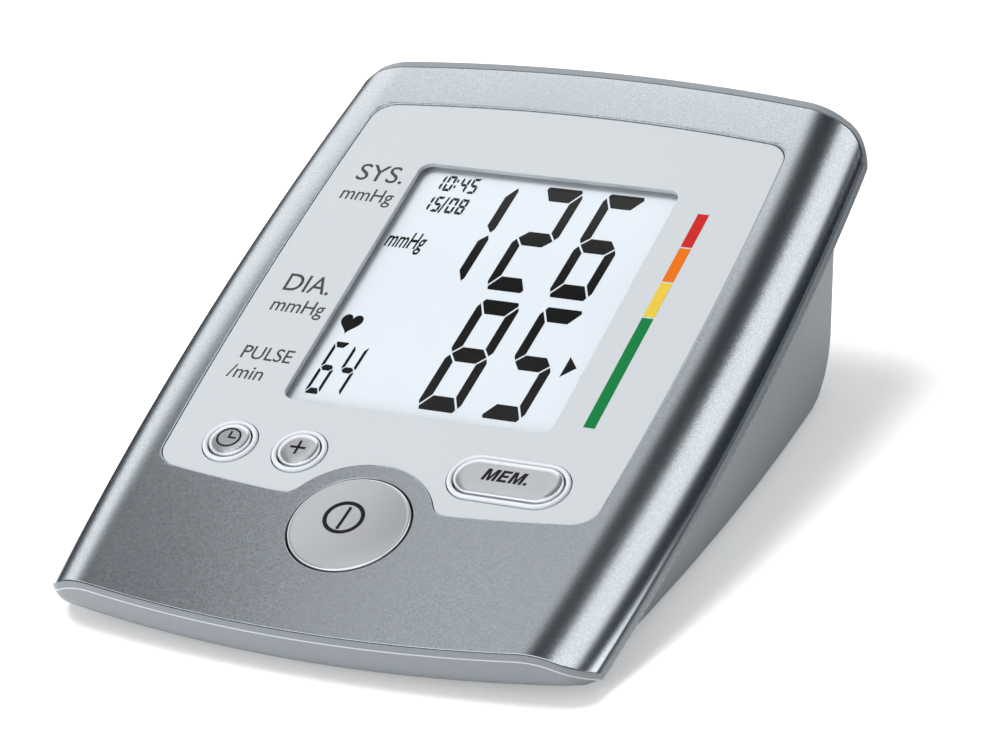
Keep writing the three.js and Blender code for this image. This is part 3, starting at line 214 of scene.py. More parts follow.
# %% The flake of metallic paint
flake, given, result = new_group(
    "paint_flake", dict(Vector=None, Scale=3600.0, Colour=(0.6, 0.63, 0.65, 1),
                        Contrast=0.25, Lean=0.05), ["Colour", "Normal"])
cells = add_node(flake, "ShaderNodeTexVoronoi", Vector=given["Vector"], Scale=given["Scale"])
split = add_node(flake, "ShaderNodeSeparateColor", Color=cells.outputs["Color"])
factor = swung(flake, split.outputs["Red"], given["Contrast"])
shaded = vector_step(flake, "SCALE", given["Colour"], Scale=factor)
centred = vector_step(flake, "SUBTRACT", cells.outputs["Color"], i1=(0.5, 0.5, 0.5))
lean = vector_step(flake, "SCALE", centred, Scale=given["Lean"])
facing = add_node(flake, "ShaderNodeNewGeometry").outputs["Normal"]
tilted = vector_step(flake, "ADD", facing, i1=lean)
flake.links.new(shaded, result["Colour"])
flake.links.new(vector_step(flake, "NORMALIZE", tilted), result["Normal"])

# %% The broad faint cloud
cloud, given, result = new_group(
    "faint_cloud", dict(Vector=None, Scale=30.0, Colour=(0.7, 0.7, 0.7, 1), Depth=0.04),
    ["Colour"])
haze = add_node(cloud, "ShaderNodeTexNoise", Vector=given["Vector"], Scale=given["Scale"],
                Detail=3.0)
factor = swung(cloud, haze.outputs["Fac"], given["Depth"])
cloud.links.new(vector_step(cloud, "SCALE", given["Colour"], Scale=factor), result["Colour"])
print("node groups:", [g.name for g in bpy.data.node_groups])

# %% [markdown]
# ## The finishes
# Every finish is a Principled BSDF. Plain numbers are set on its own sockets. Only what
# changes over the surface comes through a group: the clouded colour, the grained
# roughness and a low bump. Patterns read Object coordinates, because every finished
# object sits at the origin with its place in its mesh.


# %% Start of a material
def start_material(name, **plain):
    """A node material with one Principled BSDF; plain values go on its own sockets."""
    material = bpy.data.materials.new(name)
    material.use_nodes = True
    tree = material.node_tree
    shader = tree.nodes["Principled BSDF"]
    for key, value in plain.items():
        shader.inputs[key.replace("_", " ")].default_value = value
    place = add_node(tree, "ShaderNodeTexCoord").outputs["Object"]
    return material, tree, shader, place


def use_group(tree, group, **links):
    """Places a node group and fills its named inputs."""
    return add_node(tree, "ShaderNodeGroup", {"node_tree": group}, **links)


def feed(tree, shader, **sockets):
    """Links sockets to the shader's inputs of the same names."""
    for key, socket in sockets.items():
        tree.links.new(socket, shader.inputs[key.replace("_", " ")])


# %% Moulded plastic, rubber, print and board
def moulded(name, rgb, rough=0.45, scale=2500.0, relief=0.02, spread=0.06, depth=0.04,
            cloud_scale=30.0, **plain):
    """Plastic: clouded colour, grained roughness and a bump of relief millimetres."""
    material, tree, shader, place = start_material(name, **plain)
    tint = use_group(tree, cloud, Vector=place, Scale=cloud_scale, Colour=(*rgb, 1),
                     Depth=depth)
    skin = use_group(tree, grain, Vector=place, Scale=scale, Roughness=rough, Spread=spread)
    bump = add_node(tree, "ShaderNodeBump", Strength=1.0, Distance=relief / 1000,
                    Height=skin.outputs["Height"])
    feed(tree, shader, Base_Color=tint.outputs["Colour"], Normal=bump.outputs["Normal"],
         Roughness=skin.outputs["Roughness"])
    return material


# %% Metallic paint and bare metal
def metallic(name, rgb, rough, scale=3600.0, contrast=0.25, lean=0.05, metal=0.9, **plain):
    """Metallic paint: flakes with their own shade and lean under an even roughness."""
    material, tree, shader, place = start_material(name, Metallic=metal, **plain)
    paint = use_group(tree, flake, Vector=place, Scale=scale, Colour=(*rgb, 1),
                      Contrast=contrast, Lean=lean)
    skin = use_group(tree, grain, Vector=place, Scale=1200.0, Roughness=rough, Spread=0.03)
    feed(tree, shader, Base_Color=paint.outputs["Colour"], Normal=paint.outputs["Normal"],
         Roughness=skin.outputs["Roughness"])
    return material


# %% Clear window
def clear_window(name):
    """Clear coated plastic, so its index is low and the room hardly mirrors in it. Light
    that falls on the display and comes back from it passes straight, because a refracting
    sheet would cast a hard shadow on what it covers."""
    material, tree, shader, place = start_material(
        name, Base_Color=(0.97, 0.985, 1.0, 1), Transmission_Weight=1.0, IOR=1.2,
        Metallic=0.0, Specular_IOR_Level=0.5)
    skin = use_group(tree, grain, Vector=place, Scale=400.0, Roughness=0.03, Spread=0.01)
    feed(tree, shader, Roughness=skin.outputs["Roughness"])
    through = add_node(tree, "ShaderNodeBsdfTransparent")
    light = add_node(tree, "ShaderNodeLightPath")
    either = math_node(tree, "MAXIMUM", light.outputs["Is Shadow Ray"],
                       light.outputs["Is Diffuse Ray"])
    mix = add_node(tree, "ShaderNodeMixShader", i0=either,
                   i1=shader.outputs[0], i2=through.outputs[0])
    tree.links.new(mix.outputs[0], tree.nodes["Material Output"].inputs["Surface"])
    return material


# %% The circuit board's copper under its green mask
def circuit(name):
    """Green mask over copper: bands and dots of a paler green where copper runs."""
    material, tree, shader, place = start_material(name, Specular_IOR_Level=0.5)
    tracks = add_node(tree, "ShaderNodeTexBrick", Vector=place, Scale=120.0,
                      Color1=(0.02, 0.16, 0.06, 1), Color2=(0.03, 0.2, 0.08, 1),
                      Mortar=(0.07, 0.36, 0.16, 1), Mortar_Size=0.03)
    skin = use_group(tree, grain, Vector=place, Scale=900.0, Roughness=0.35, Spread=0.05)
    bump = add_node(tree, "ShaderNodeBump", Strength=0.6, Distance=0.00003,
                    Height=tracks.outputs["Fac"])
    feed(tree, shader, Base_Color=tracks.outputs["Color"], Normal=bump.outputs["Normal"],
         Roughness=skin.outputs["Roughness"])
    return material


# %% The shelf of finishes
FINISH = {
    "silver": metallic("silver_paint", (0.735, 0.79, 0.832), 0.27, contrast=0.2, lean=0.018,
                       metal=1.0),
    "button": metallic("button_paint", (0.92, 0.935, 0.975), 0.25, scale=5000.0,
                       contrast=0.05, lean=0.005, metal=0.9),
    "metal": metallic("plated_metal", (0.72, 0.73, 0.75), 0.24, scale=2200.0,
                      contrast=0.08, lean=0.02, metal=1.0),
    "rim_grey": moulded("rim_plastic", (0.215, 0.237, 0.254), 0.3, relief=0.004),
    "base_grey": moulded("base_plastic", (0.335, 0.366, 0.385), 0.5, relief=0.012),
    "panel": moulded("panel_skin", (0.455, 0.482, 0.502), 0.42, relief=0.003, depth=0.02),
    # Gloss white: the collars' own colour, also laid on the rim's crease and the panel's edge
    # chamfer as a painted highlight
    "white": moulded("gloss_white", (0.60, 0.63, 0.66), 0.2, relief=0.002, depth=0.01,
                     Coat_Weight=0.4, Coat_Roughness=0.05),
    "lens": clear_window("clear_window"),
    "lcd": moulded("display_back", (0.60, 0.64, 0.675), 0.5, relief=0.002, depth=0.015),
    "board": circuit("circuit_board"),
    "black": moulded("black_plastic", (0.014, 0.015, 0.017), 0.5, relief=0.02),
    "rubber": moulded("rubber_skin", (0.022, 0.024, 0.026), 0.75, scale=1500.0,
                      relief=0.04),
    "cell": metallic("cell_sleeve", (0.045, 0.12, 0.28), 0.3, scale=6000.0, contrast=0.05,
                     lean=0.01, metal=0.3),
    "natural": moulded("pale_plastic", (0.74, 0.70, 0.61), 0.45, relief=0.02),
    "ink": moulded("dark_print", (0.036, 0.042, 0.05), 0.45, relief=0.004),
    "black_ink": moulded("black_print", (0.008, 0.008, 0.009), 0.5, relief=0.004,
                         Specular_IOR_Level=0.2),
    "segment": moulded("display_segment", (0.007, 0.0068, 0.0064), 0.6, relief=0.002,
                       Specular_IOR_Level=0.1),
    "foam": moulded("grey_foam", (0.09, 0.09, 0.095), 0.95, scale=700.0, relief=0.35,
                    spread=0.02, depth=0.3, cloud_scale=600.0),
}
BAR_COLOURS = {
    "red": (0.43, 0.012, 0.009),
    "orange": (0.60, 0.125, 0.001),
    "yellow": (0.59, 0.425, 0.042),
    "green": (0.001, 0.15, 0.034),
}
for tone, rgb in BAR_COLOURS.items():
    FINISH[tone] = moulded(f"{tone}_print", rgb, 0.5, relief=0.003, depth=0.02,
                           Specular_IOR_Level=0.2)
print(len(FINISH), "finishes")

# %% [markdown]
# ## From arrays to pieces
# A formed piece is a set of points and faces worked out as arrays. One helper puts them
# in a mesh, merges points that coincide, turns all faces outwards and keeps edges sharper
# than a set angle hard. Another helper makes the object. Its weighted-normal modifier lets
# the flats stay flat in their shading while the narrow rounded edges take the turn.


# %% A mesh into a riding piece
HARD_TURN = math.radians(40)


def place_piece(name, mesh, body, stands_for, bevel=0.0, weighted=True):
    """An object for a mesh, with its modifiers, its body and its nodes."""
    piece = bpy.data.objects.new(name, mesh)
    bpy.context.scene.collection.objects.link(piece)
    if bevel:
        edges = piece.modifiers.new("edges", "BEVEL")
        edges.width, edges.segments = bevel / 1000, 2
        edges.limit_method, edges.angle_limit = "ANGLE", HARD_TURN
        edges.use_clamp_overlap = True
    if weighted:
        piece.modifiers.new("weighted", "WEIGHTED_NORMAL").keep_sharp = True
    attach(piece, body)
    if stands_for:
        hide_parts(*stands_for)
    return piece


# %% Arrays into a mesh
SHARP_ANGLE = math.radians(38)


def make_piece(name, points, faces, finish, body="housing", stands_for=(), slot=None,
               sharp=SHARP_ANGLE, weighted=True, merge=1e-7, accent=None):
    """Points in metres and faces by index become one closed outward-facing mesh. The slot
    argument is not used. An accent is a second finish and the faces for it."""
    mesh = bpy.data.meshes.new(name)
    mesh.from_pydata(np.asarray(points).tolist(), [], [list(map(int, f)) for f in faces])
    for face in mesh.polygons[accent[1]] if accent else []:
        face.material_index = 1
    work = bmesh.new()
    work.from_mesh(mesh)
    bmesh.ops.remove_doubles(work, verts=work.verts, dist=merge)
    bmesh.ops.recalc_face_normals(work, faces=work.faces)
    work.to_mesh(mesh)
    work.free()
    mesh.shade_smooth()
    mesh.set_sharp_from_angle(angle=sharp)
    for worn in (finish, accent[0]) if accent else (finish,):
        mesh.materials.append(FINISH[worn])
    return place_piece(name, mesh, body, stands_for, weighted=weighted)


def band(one, other):
    """Quads between two closed rows of point numbers."""
    return np.stack([one, np.roll(one, -1), np.roll(other, -1), other], -1).tolist()


def strips(rows, count, wrap=False):
    """Quads between successive closed loops of count points; wrap joins last to first."""
    numbers = np.arange(rows * count).reshape(rows, count)
    after = np.roll(numbers, -1, 0)
    pairs = list(zip(numbers, after))
    return [quad for pair in pairs[:rows if wrap else -1] for quad in band(*pair)]


def fill(loops):
    """Triangles of a flat outline with holes; each loop is an array of 2-D points."""
    flat = [[Vector((p[0], p[1], 0)) for p in loop] for loop in loops]
    return [tuple(t) for t in tessellate_polygon(flat)]


def loft_piece(name, loops, finish, low_cap=True, high_cap=True, **options):
    """Skins closed loops with equal counts, and closes the first and the last."""
    count = len(loops[0])
    faces = strips(len(loops), count, wrap=not (low_cap or high_cap))
    if low_cap:
        faces.append(list(range(count)))
    if high_cap:
        faces.append(list(range((len(loops) - 1) * count, len(loops) * count)))
    return make_piece(name, np.concatenate(loops), faces, finish, **options)


# %% [markdown]
# ## Bowed outlines
# The slab, the panel and the base are all the same kind of outline: a rectangle whose four
# sides are shallow arcs, with a small round at each corner. The round at a corner is a
# circle that touches both arcs from inside, so its centre is where the two arcs, each
# shrunk by the round's radius, meet. Growing the outline only grows the radii.


# %% Arcs and bowed rectangles
OUTLINE_COUNTS = (36, 16, 60, 16, 36)
SMALLEST_ROUND = 0.6


def arc(centre, radius, start, end, steps):
    """Points on a circle from one angle to another."""
    angle = np.linspace(start, end, steps + 1)
    return np.stack([centre[0] + radius * np.cos(angle), centre[1] + radius * np.sin(angle)],
                    -1)


def meeting(a, radius_a, b, radius_b):
    """The right-hand point where two circles meet."""
    a, b = np.asarray(a, float), np.asarray(b, float)
    gap = np.linalg.norm(b - a)
    along = (radius_a ** 2 - radius_b ** 2 + gap ** 2) / (2 * gap)
    across = math.sqrt(max(radius_a ** 2 - along ** 2, 0))
    toward = (b - a) / gap
    side = np.array([-toward[1], toward[0]])
    one, two = a + toward * along + side * across, a + toward * along - side * across
    return one if one[0] > two[0] else two


def angle_of(vector):
    """Turn of a 2-D vector, from 0 to a whole turn."""
    return math.atan2(vector[1], vector[0]) % (2 * math.pi)


def bowed_half(form, side=0.0, front=0.0, back=0.0, counts=OUTLINE_COUNTS):
    """Right half of a bowed rectangle, each side grown along its own normal."""
    side_mid = np.array([form["half"] - form["side_bow"], form["widest"]])
    front_mid = np.array([0.0, form["front"] + form["front_bow"]])
    back_mid = np.array([0.0, form["back"] - form["back_bow"]])
    side_r, front_r = form["side_bow"] + side, form["front_bow"] + front
    back_r = form["back_bow"] + back
    low_r = max(form["front_corner"] + (side + front) / 2, SMALLEST_ROUND)
    high_r = max(form["back_corner"] + (side + back) / 2, SMALLEST_ROUND)
    low = meeting(side_mid, side_r - low_r, front_mid, front_r - low_r)
    high = meeting(side_mid, side_r - high_r, back_mid, back_r - high_r)
    front_turn, low_turn = angle_of(low - front_mid), angle_of(low - side_mid)
    high_turn, back_turn = angle_of(high - side_mid), angle_of(high - back_mid)
    whole = 2 * math.pi
    low_turn += 0 if low_turn > math.pi else whole
    runs = [(front_mid, front_r, 1.5 * math.pi, front_turn), (low, low_r, front_turn, low_turn),
            (side_mid, side_r, low_turn - whole, high_turn),
            (high, high_r, high_turn, back_turn), (back_mid, back_r, back_turn, math.pi / 2)]
    return np.concatenate([arc(*run, count)[1:] for run, count in zip(runs, counts)])


def bowed(form, side=0.0, front=0.0, back=0.0):
    """The whole bowed rectangle as one closed loop that starts beside the front middle."""
    right = bowed_half(form, side, front, back)
    start = np.array([[0.0, form["front"] - front]])
    return np.concatenate([right, right[:-1][::-1] * [-1, 1], start])


def slab_half(v):
    """Half the slab's width at a place up the slope."""
    bow = SLAB["side_bow"]
    return SLAB["half"] - bow + np.sqrt(bow ** 2 - (np.asarray(v) - SLAB["widest"]) ** 2)


def arch(u, v):
    """Height of the cover's skin: flat, then a quarter ellipse down to each side."""
    across = np.clip((np.abs(u) - (slab_half(v) - ROLL_WIDTH)) / ROLL_WIDTH, 0, 1)
    return -ROLL_DROP * (1 - np.sqrt(1 - across ** 2))


outline = bowed(SLAB)
print("slab outline:", len(outline), "points,", np.ptp(outline, axis=0).round(1), "mm")

# %% [markdown]
# ## The panel's outline
# The panel follows the slab's bows, and at the front it is notched round the start
# button. Going up its right half: the notch is an arc about the button's centre, a fillet
# turns it out onto the front bow, and then come the corner, the side and the back.


# %% The notched outline and the plain openings
def panel_outline(grow=0.0):
    """Closed loop of the panel grown by a distance; every part keeps its point count."""
    notch, fillet = START["notch"] - grow, START["fillet"] + grow
    bow_mid = np.array([0.0, PANEL["front"] + PANEL["front_bow"]])
    bow_r = PANEL["front_bow"] + grow
    start = np.array([0.0, START["v"]])
    fillet_mid = meeting(start, notch + fillet, bow_mid, bow_r - fillet)
    on_bow = angle_of(fillet_mid - bow_mid)
    to_start = angle_of(start - fillet_mid)
    body = bowed_half(PANEL, grow, grow, grow, counts=(1, 12, 50, 12, 30))
    right = np.concatenate([
        arc(start, notch, math.pi / 2, to_start - math.pi, 30)[1:],
        arc(fillet_mid, fillet, to_start, on_bow, 12)[1:],
        arc(bow_mid, bow_r, on_bow, angle_of(body[0] - bow_mid), 14)[1:-1],
        body])
    top = np.array([[0.0, START["v"] + notch]])
    return np.concatenate([right, right[:-1][::-1] * [-1, 1], top])


def rounded_box(grow=0.0):
    """The display's opening as a rounded rectangle, grown by a distance."""
    radius, quarter = VIEW["corner"] + grow * 0.5, math.pi / 2
    u1 = VIEW["half"] + grow - radius
    v0, v1 = VIEW["front"] - grow + radius, VIEW["back"] + grow - radius
    corners = enumerate([(u1, v0), (u1, v1), (-u1, v1), (-u1, v0)], -1)
    return np.concatenate([arc(centre, radius, turn * quarter, (turn + 1) * quarter, 10)
                           for turn, centre in corners])


def stadium(button, grow=0.0, steps=24):
    """Two half circles joined by straight sides, round a small button."""
    quarter, radius = math.pi / 2, button["radius"] + grow
    offset = button["straight"] / 2
    right = arc((button["u"] + offset, SMALL_ROW), radius, -quarter, quarter, steps)
    left = arc((button["u"] - offset, SMALL_ROW), radius, quarter, 3 * quarter, steps)
    last = None if offset else -1
    return np.concatenate([right[:last], left[:last]])


def ring(radius, steps=96):
    """A circle about the start button."""
    return arc((0.0, START["v"]), radius, 0, 2 * math.pi, steps)[:-1]


panel_loop = panel_outline()
print("panel outline:", len(panel_loop), "points, lowest", panel_loop[:, 1].min().round(2))

# %% [markdown]
# ## The top cover
# The cover is one thin formed skin: flat in the middle and rolled down at both sides. A
# box with a bevel would give the roll the wrong light, so the skin is worked out as three
# patches that share their border points: a flat field with the panel's pocket and the
# start button's hole, and a grid for each roll. In the grid one direction follows the
# quarter ellipse and the other runs from the bowed front to the bowed back.
# The edge all round is then carried along the border: out along the skin, over a small
# round and down by the wall's thickness, in the plane of the skin's own normal. The same
# rule serves at the front, where that plane stands upright, and at the sides, where it
# lies flat.

# %% Border points of the rolls
COVER_WALL = 1.5
EDGE_ROUND = 0.22
ROLL_COLUMNS = 30
ROLL_ROWS = 96
EDGE_COUNTS = (120, 60, 200, 60, 120)
inner_edge = bowed_half(SLAB, -EDGE_ROUND * 0.2, -EDGE_ROUND, -EDGE_ROUND,
                        counts=EDGE_COUNTS)
roll_start = slab_half(inner_edge[:, 1]) - ROLL_WIDTH
across_all = (inner_edge[:, 0] - roll_start) / ROLL_WIDTH
turns = np.linspace(0, math.pi / 2, ROLL_COLUMNS)


def border_v(turn, rows):
    """Where a line of constant turn on the roll leaves the outline. The rows run between
    the slab's middle and the end of a corner's round, where the turn is a quarter."""
    part, across = inner_edge[rows], across_all[rows] / across_all[rows].max()
    order = np.argsort(across)
    return np.interp(np.sin(turn), across[order], part[order, 1])


front_end = EDGE_COUNTS[0] + EDGE_COUNTS[1]
back_start = front_end + EDGE_COUNTS[2] - 1
roll_front = border_v(turns, slice(0, front_end))
roll_back = border_v(turns, slice(back_start, None))
print("roll runs from", roll_front[[0, -1]].round(2), "to", roll_back[[0, -1]].round(2))

# %% The rolled grid on the right
along = np.linspace(0, 1, ROLL_ROWS)
grid_v = roll_front + (roll_back - roll_front) * along[:, None]
grid_u = slab_half(grid_v) - ROLL_WIDTH + ROLL_WIDTH * np.sin(turns)
grid_w = np.broadcast_to(-ROLL_DROP * (1 - np.cos(turns)), grid_v.shape)
normal_u = np.sin(turns) * ROLL_DROP
normal_w = np.cos(turns) * ROLL_WIDTH
scale = np.hypot(normal_u, normal_w)
normal_row = np.stack([normal_u / scale, np.zeros(ROLL_COLUMNS), normal_w / scale], -1)
grid_n = np.broadcast_to(normal_row, (*grid_u.shape, 3))
right_roll = np.stack([grid_u, grid_v, grid_w], -1)
print("roll grid", right_roll.shape[:2])


# %% Flat field with its openings
def flat_run(end, half, sign):
    """The front or back border of the flat part, from one roll to the other; the sign is
    -1 at the front and 1 at the back."""
    u = np.linspace(sign, -sign, 60)[1:-1] * half
    bow = SLAB[f"{end}_bow"]
    return np.stack([u, SLAB[end] - sign * bow
                     + sign * np.sqrt((bow - EDGE_ROUND) ** 2 - u ** 2)], -1)


flat_front = flat_run("front", right_roll[0, 0, 0], -1)
flat_back = flat_run("back", right_roll[-1, 0, 0], 1)
MIRROR = [-1, 1, 1]
left_roll = right_roll * MIRROR
field_loop = np.concatenate([flat_front, right_roll[:, 0, :2], flat_back,
                             left_roll[::-1, 0, :2]])
POCKET_ROUND = 0.3
pocket_loop = panel_outline(FIT + POCKET_ROUND)
start_loop = ring(START["radius"] + FIT + POCKET_ROUND)
field_faces = fill([field_loop, pocket_loop, start_loop])
print("field triangles:", len(field_faces))

# %% The skin's points, its border and its thickness
field = np.insert(np.concatenate([field_loop, pocket_loop, start_loop]), 2, 0.0, axis=1)
skin_points = np.concatenate([field, right_roll.reshape(-1, 3), left_roll.reshape(-1, 3)])
skin_normals = np.concatenate([np.tile([0.0, 0.0, 1.0], (len(field), 1)),
                               grid_n.reshape(-1, 3), (grid_n * MIRROR).reshape(-1, 3)])


def grid_faces(numbers):
    """Quads of a grid of point numbers."""
    return np.stack([numbers[:-1, :-1], numbers[:-1, 1:], numbers[1:, 1:],
                     numbers[1:, :-1]], -1).reshape(-1, 4).tolist()


right = len(field) + np.arange(ROLL_ROWS * ROLL_COLUMNS).reshape(ROLL_ROWS, ROLL_COLUMNS)
left = right + right.size
skin_faces = field_faces + grid_faces(right) + [f[::-1] for f in grid_faces(left)]
border = np.concatenate([
    np.arange(len(flat_front)), right[0], right[1:, -1], right[-1, -2::-1],
    len(flat_front) + ROLL_ROWS + np.arange(len(flat_back)),
    left[-1], left[-2::-1, -1], left[0, -2::-1]])
print("border points:", len(border))


def carried_edge(points, normals, wall, radius, outward):
    """Loops that leave a border along the skin, round over and go down by the wall.
    outward is the direction in the skin, square to the border."""
    steps = [(math.sin(turn), radius * (1 - math.cos(turn)))
             for turn in np.radians([22.5, 45, 67.5, 90])] + [(1, wall)]
    return [points + radius * out * outward - down * normals for out, down in steps]


def unit_rows(rows):
    """Rows scaled to unit length."""
    return rows / np.linalg.norm(rows, axis=1, keepdims=True)


def outward_of(points, normals):
    """Square to the loop's run and to the normals, to the right of the run."""
    run = unit_rows(np.roll(points, -1, 0) - np.roll(points, 1, 0))
    return unit_rows(np.cross(run, normals))


def assemble_skin(points, normals, faces, borders, wall, radius):
    """A skin, its underside, and a carried edge along each border joined to both."""
    total = len(points)
    under = points - wall * normals
    all_points = [points, under]
    all_faces = [list(f) for f in faces] + [[i + total for i in f[::-1]] for f in faces]
    used = 2 * total
    for loop, sign in borders:
        edge = points[loop]
        loops = carried_edge(edge, normals[loop], wall, radius,
                             sign * outward_of(edge, normals[loop]))
        count = len(loop)
        carried = used + np.arange(count * len(loops)).reshape(-1, count)
        rows = [loop, *carried, total + loop]
        for pair in zip(rows, rows[1:]):
            all_faces += band(*pair)
        all_points += loops
        used += count * len(loops)
    return np.concatenate(all_points), all_faces


# %% The cover as one closed piece
pocket_at = len(field_loop) + np.arange(len(pocket_loop))
start_at = len(field_loop) + len(pocket_loop) + np.arange(len(start_loop))
cover_points, cover_faces = assemble_skin(
    skin_points, skin_normals, skin_faces,
    [(border, 1), (pocket_at, -1), (start_at, -1)], COVER_WALL, EDGE_ROUND)
cover = make_piece("top_cover_skin", from_face(*cover_points.T), cover_faces, "silver",
                   stands_for=["top_cover"], merge=1e-8)
print("cover:", len(cover.data.polygons), "faces")

# %% [markdown]
# ## The rim
# The rim is a plastic frame under the cover's edge. It has one profile, carried round the
# slab's outline: a narrow lip beside the cover, a sloping band, a crisp crease, and a face
# that tucks under. The strips of the crease, between two of the loops, wear the gloss white
# as a painted highlight. Its top follows the arch of the cover, so at the sides the lip and
# the band sink and become a plain strip under the roll.

# %% The rim's profile carried round
RIM_SIDE, RIM_FRONT, RIM_BACK = 0.55, 0.7, 2.4
RIM_SINK = 0.12
RIM_GAP = 0.28
BAND = 1.5
RIM_BOTTOM, RIM_FLOOR = 11.3, -10.1
RIM_SLIP = 0.8
NOSE_START, NOSE_DEPTH, NOSE_TUCK, NOSE_SETBACK = 5.6, 9.5, 2.45, 0.12
RIM_FLANGE = dict(side=-7.5, front=-13.0, back=-9.5)
RIM_SHELF = (-3.2, -3.2, -3.2)
# Loops that bound the crease strips, which are painted gloss white as a highlight
CREASE_HIGHLIGHT_LOOPS = (10, 12)
SIDE_FROM, SIDE_BLEND, SIDE_SINK = 0.8, 0.2, 0.18
# Setback from the cover's edge, depth under the lip and height over the rim's floor
WEB = [(-2.4, 2.4, 0.1), (0.0, 2.2, 0.15)]
# Setback, and height over the lip, the low end of the band or the bottom
LIP_INSIDE = [(0.0, -0.1), (0.1, 0.0)]
LIP_EDGE = [(0.48, 0.0), (0.42, -0.03), (0.36, -0.12)]
BAND_EDGE = [(0.24, 0.14), (0.2, 0.07), (0.03, 0.0), (0.0, -0.06), (0.04, -0.14)]
BOTTOM_EDGE = [(3.4, 0.25), (4.0, 0.0)]
NOSE_UNDER_BAND = 0.2

plan = bowed(SLAB)
edge_height = arch(*plan.T)
sideness = np.clip((-edge_height / ROLL_DROP - SIDE_FROM) / SIDE_BLEND, 0, 1)
sideness = sideness * sideness * (3 - 2 * sideness)
lip_height = edge_height - RIM_SINK - SIDE_SINK * sideness


def rim_loop(side, front, back, height):
    """The slab's outline grown by a different distance at each side, at its own height."""
    return np.column_stack([bowed(SLAB, side, front, back),
                            np.broadcast_to(height, len(plan))])


def rim_outer(setback, height):
    """A loop a setback inside the rim's outer outline."""
    return rim_loop(RIM_SIDE, RIM_FRONT - setback, RIM_BACK - setback, height)


beside_cover = bowed(SLAB, RIM_GAP, RIM_GAP, RIM_GAP)
inward = unit_rows(bowed(SLAB, -1, -1, -1) - plan)


def rim_inner(extra, height):
    """A loop beside the cover's edge that slips under it along the sides."""
    slip = (RIM_GAP + RIM_SLIP) * sideness - extra
    return np.column_stack([beside_cover + inward * slip[:, None], height])


band_low = lip_height - BAND
rim_loops = [
    rim_loop(**RIM_FLANGE, height=RIM_FLOOR),
    rim_loop(*RIM_SHELF, RIM_FLOOR),
    *[rim_inner(extra, np.maximum(lip_height - under, RIM_FLOOR + over))
      for extra, under, over in WEB],
    *[rim_inner(extra, lip_height + rise) for extra, rise in LIP_INSIDE],
    *[rim_outer(setback, lip_height + rise) for setback, rise in LIP_EDGE],
    *[rim_outer(setback, band_low + rise) for setback, rise in BAND_EDGE],
    rim_outer(NOSE_SETBACK, np.minimum(-NOSE_START, band_low - NOSE_UNDER_BAND)),
]
for turn in np.linspace(0, math.pi / 2, 9)[1:]:
    depth = NOSE_START + (NOSE_DEPTH - NOSE_START) * math.sin(turn)
    rim_loops.append(rim_outer(NOSE_SETBACK + NOSE_TUCK * (1 - math.cos(turn)),
                               np.minimum(-depth, band_low - NOSE_UNDER_BAND - 0.02)))
rim_loops += [rim_outer(setback, rise - RIM_BOTTOM) for setback, rise in BOTTOM_EDGE]
rim_loops.append(rim_loop(**RIM_FLANGE, height=-RIM_BOTTOM))
rim_points = np.concatenate(rim_loops)
# The second finish paints the crease strips gloss white as a highlight line
rim = make_piece("rim_frame", from_face(*rim_points.T),
                 strips(len(rim_loops), len(plan), wrap=True), "rim_grey",
                 stands_for=["mid_frame"],
                 accent=("white", slice(CREASE_HIGHLIGHT_LOOPS[0] * len(plan), CREASE_HIGHLIGHT_LOOPS[1] * len(plan))))
print("rim:", len(rim.data.polygons), "faces from", len(rim_loops), "loops")

# %% [markdown]
# ## The panel
# A flat sheet lies in the cover's pocket, a hair below the cover. Its edge has a narrow
# chamfer; the chamfer faces that lean part way to the face, except round the display, wear
# the gloss white as a painted highlight, a thin bright line. The display and the three small
# buttons need openings, each with the same small chamfer. The sheet is the same kind of
# skin as the cover, only flat, so the same edge-carrying function makes it.

# %% Panel
PANEL_ROUND = 0.26
PANEL_GROW = 0.2
COLLAR_FIT = 0.18
# Chamfer faces that lean this far towards the face get the painted highlight
HIGHLIGHT_LEAN = (0.08, 0.97)
panel_edge = panel_outline(PANEL_GROW - PANEL_ROUND)
view_edge = rounded_box(PANEL_ROUND)
collar_edges = [stadium(b, FIT + COLLAR_WIDTH + COLLAR_FIT + PANEL_ROUND)
                for b in SMALL_BUTTONS.values()]
panel_loops = [panel_edge, view_edge, *collar_edges]
panel_flat = np.concatenate(panel_loops)
panel_points = np.insert(panel_flat, 2, -PANEL_SINK, axis=1)
panel_normals = np.tile([0.0, 0.0, 1.0], (len(panel_flat), 1))
ends = np.cumsum([len(loop) for loop in panel_loops])
borders = [(np.arange(end - len(loop), end), 1 if loop is panel_edge else -1)
           for end, loop in zip(ends, panel_loops)]
points, faces = assemble_skin(panel_points, panel_normals, fill(panel_loops), borders,
                              PANEL_THICK, PANEL_ROUND)
panel = make_piece("panel_sheet", from_face(*points.T), faces, "panel",
                   stands_for=["face_panel"], merge=1e-8)
# Second slot: gloss white laid on the edge chamfer as a painted highlight
panel.data.materials.append(FINISH["white"])
facing = np.empty(3 * len(panel.data.polygons))
panel.data.polygons.foreach_get("normal", facing)
facing = facing.reshape(-1, 3) @ np.array([0.0, -SIN, COS])
middle = np.array([tuple(p.center) for p in panel.data.polygons]) * 1000
at_v = (middle[:, 1] + MID_Y) * COS + (middle[:, 2] - FACE_LIFT) * SIN
by_display = (abs(middle[:, 0]) < VIEW["half"] + 1) & (at_v > VIEW["front"] - 1) \
    & (at_v < VIEW["back"] + 1)
painted_highlight = (facing > HIGHLIGHT_LEAN[0]) & (facing < HIGHLIGHT_LEAN[1]) & ~by_display
panel.data.polygons.foreach_set("material_index", painted_highlight.astype(int))
print("panel:", len(panel.data.polygons), "faces,", painted_highlight.sum(), "on polished edges")

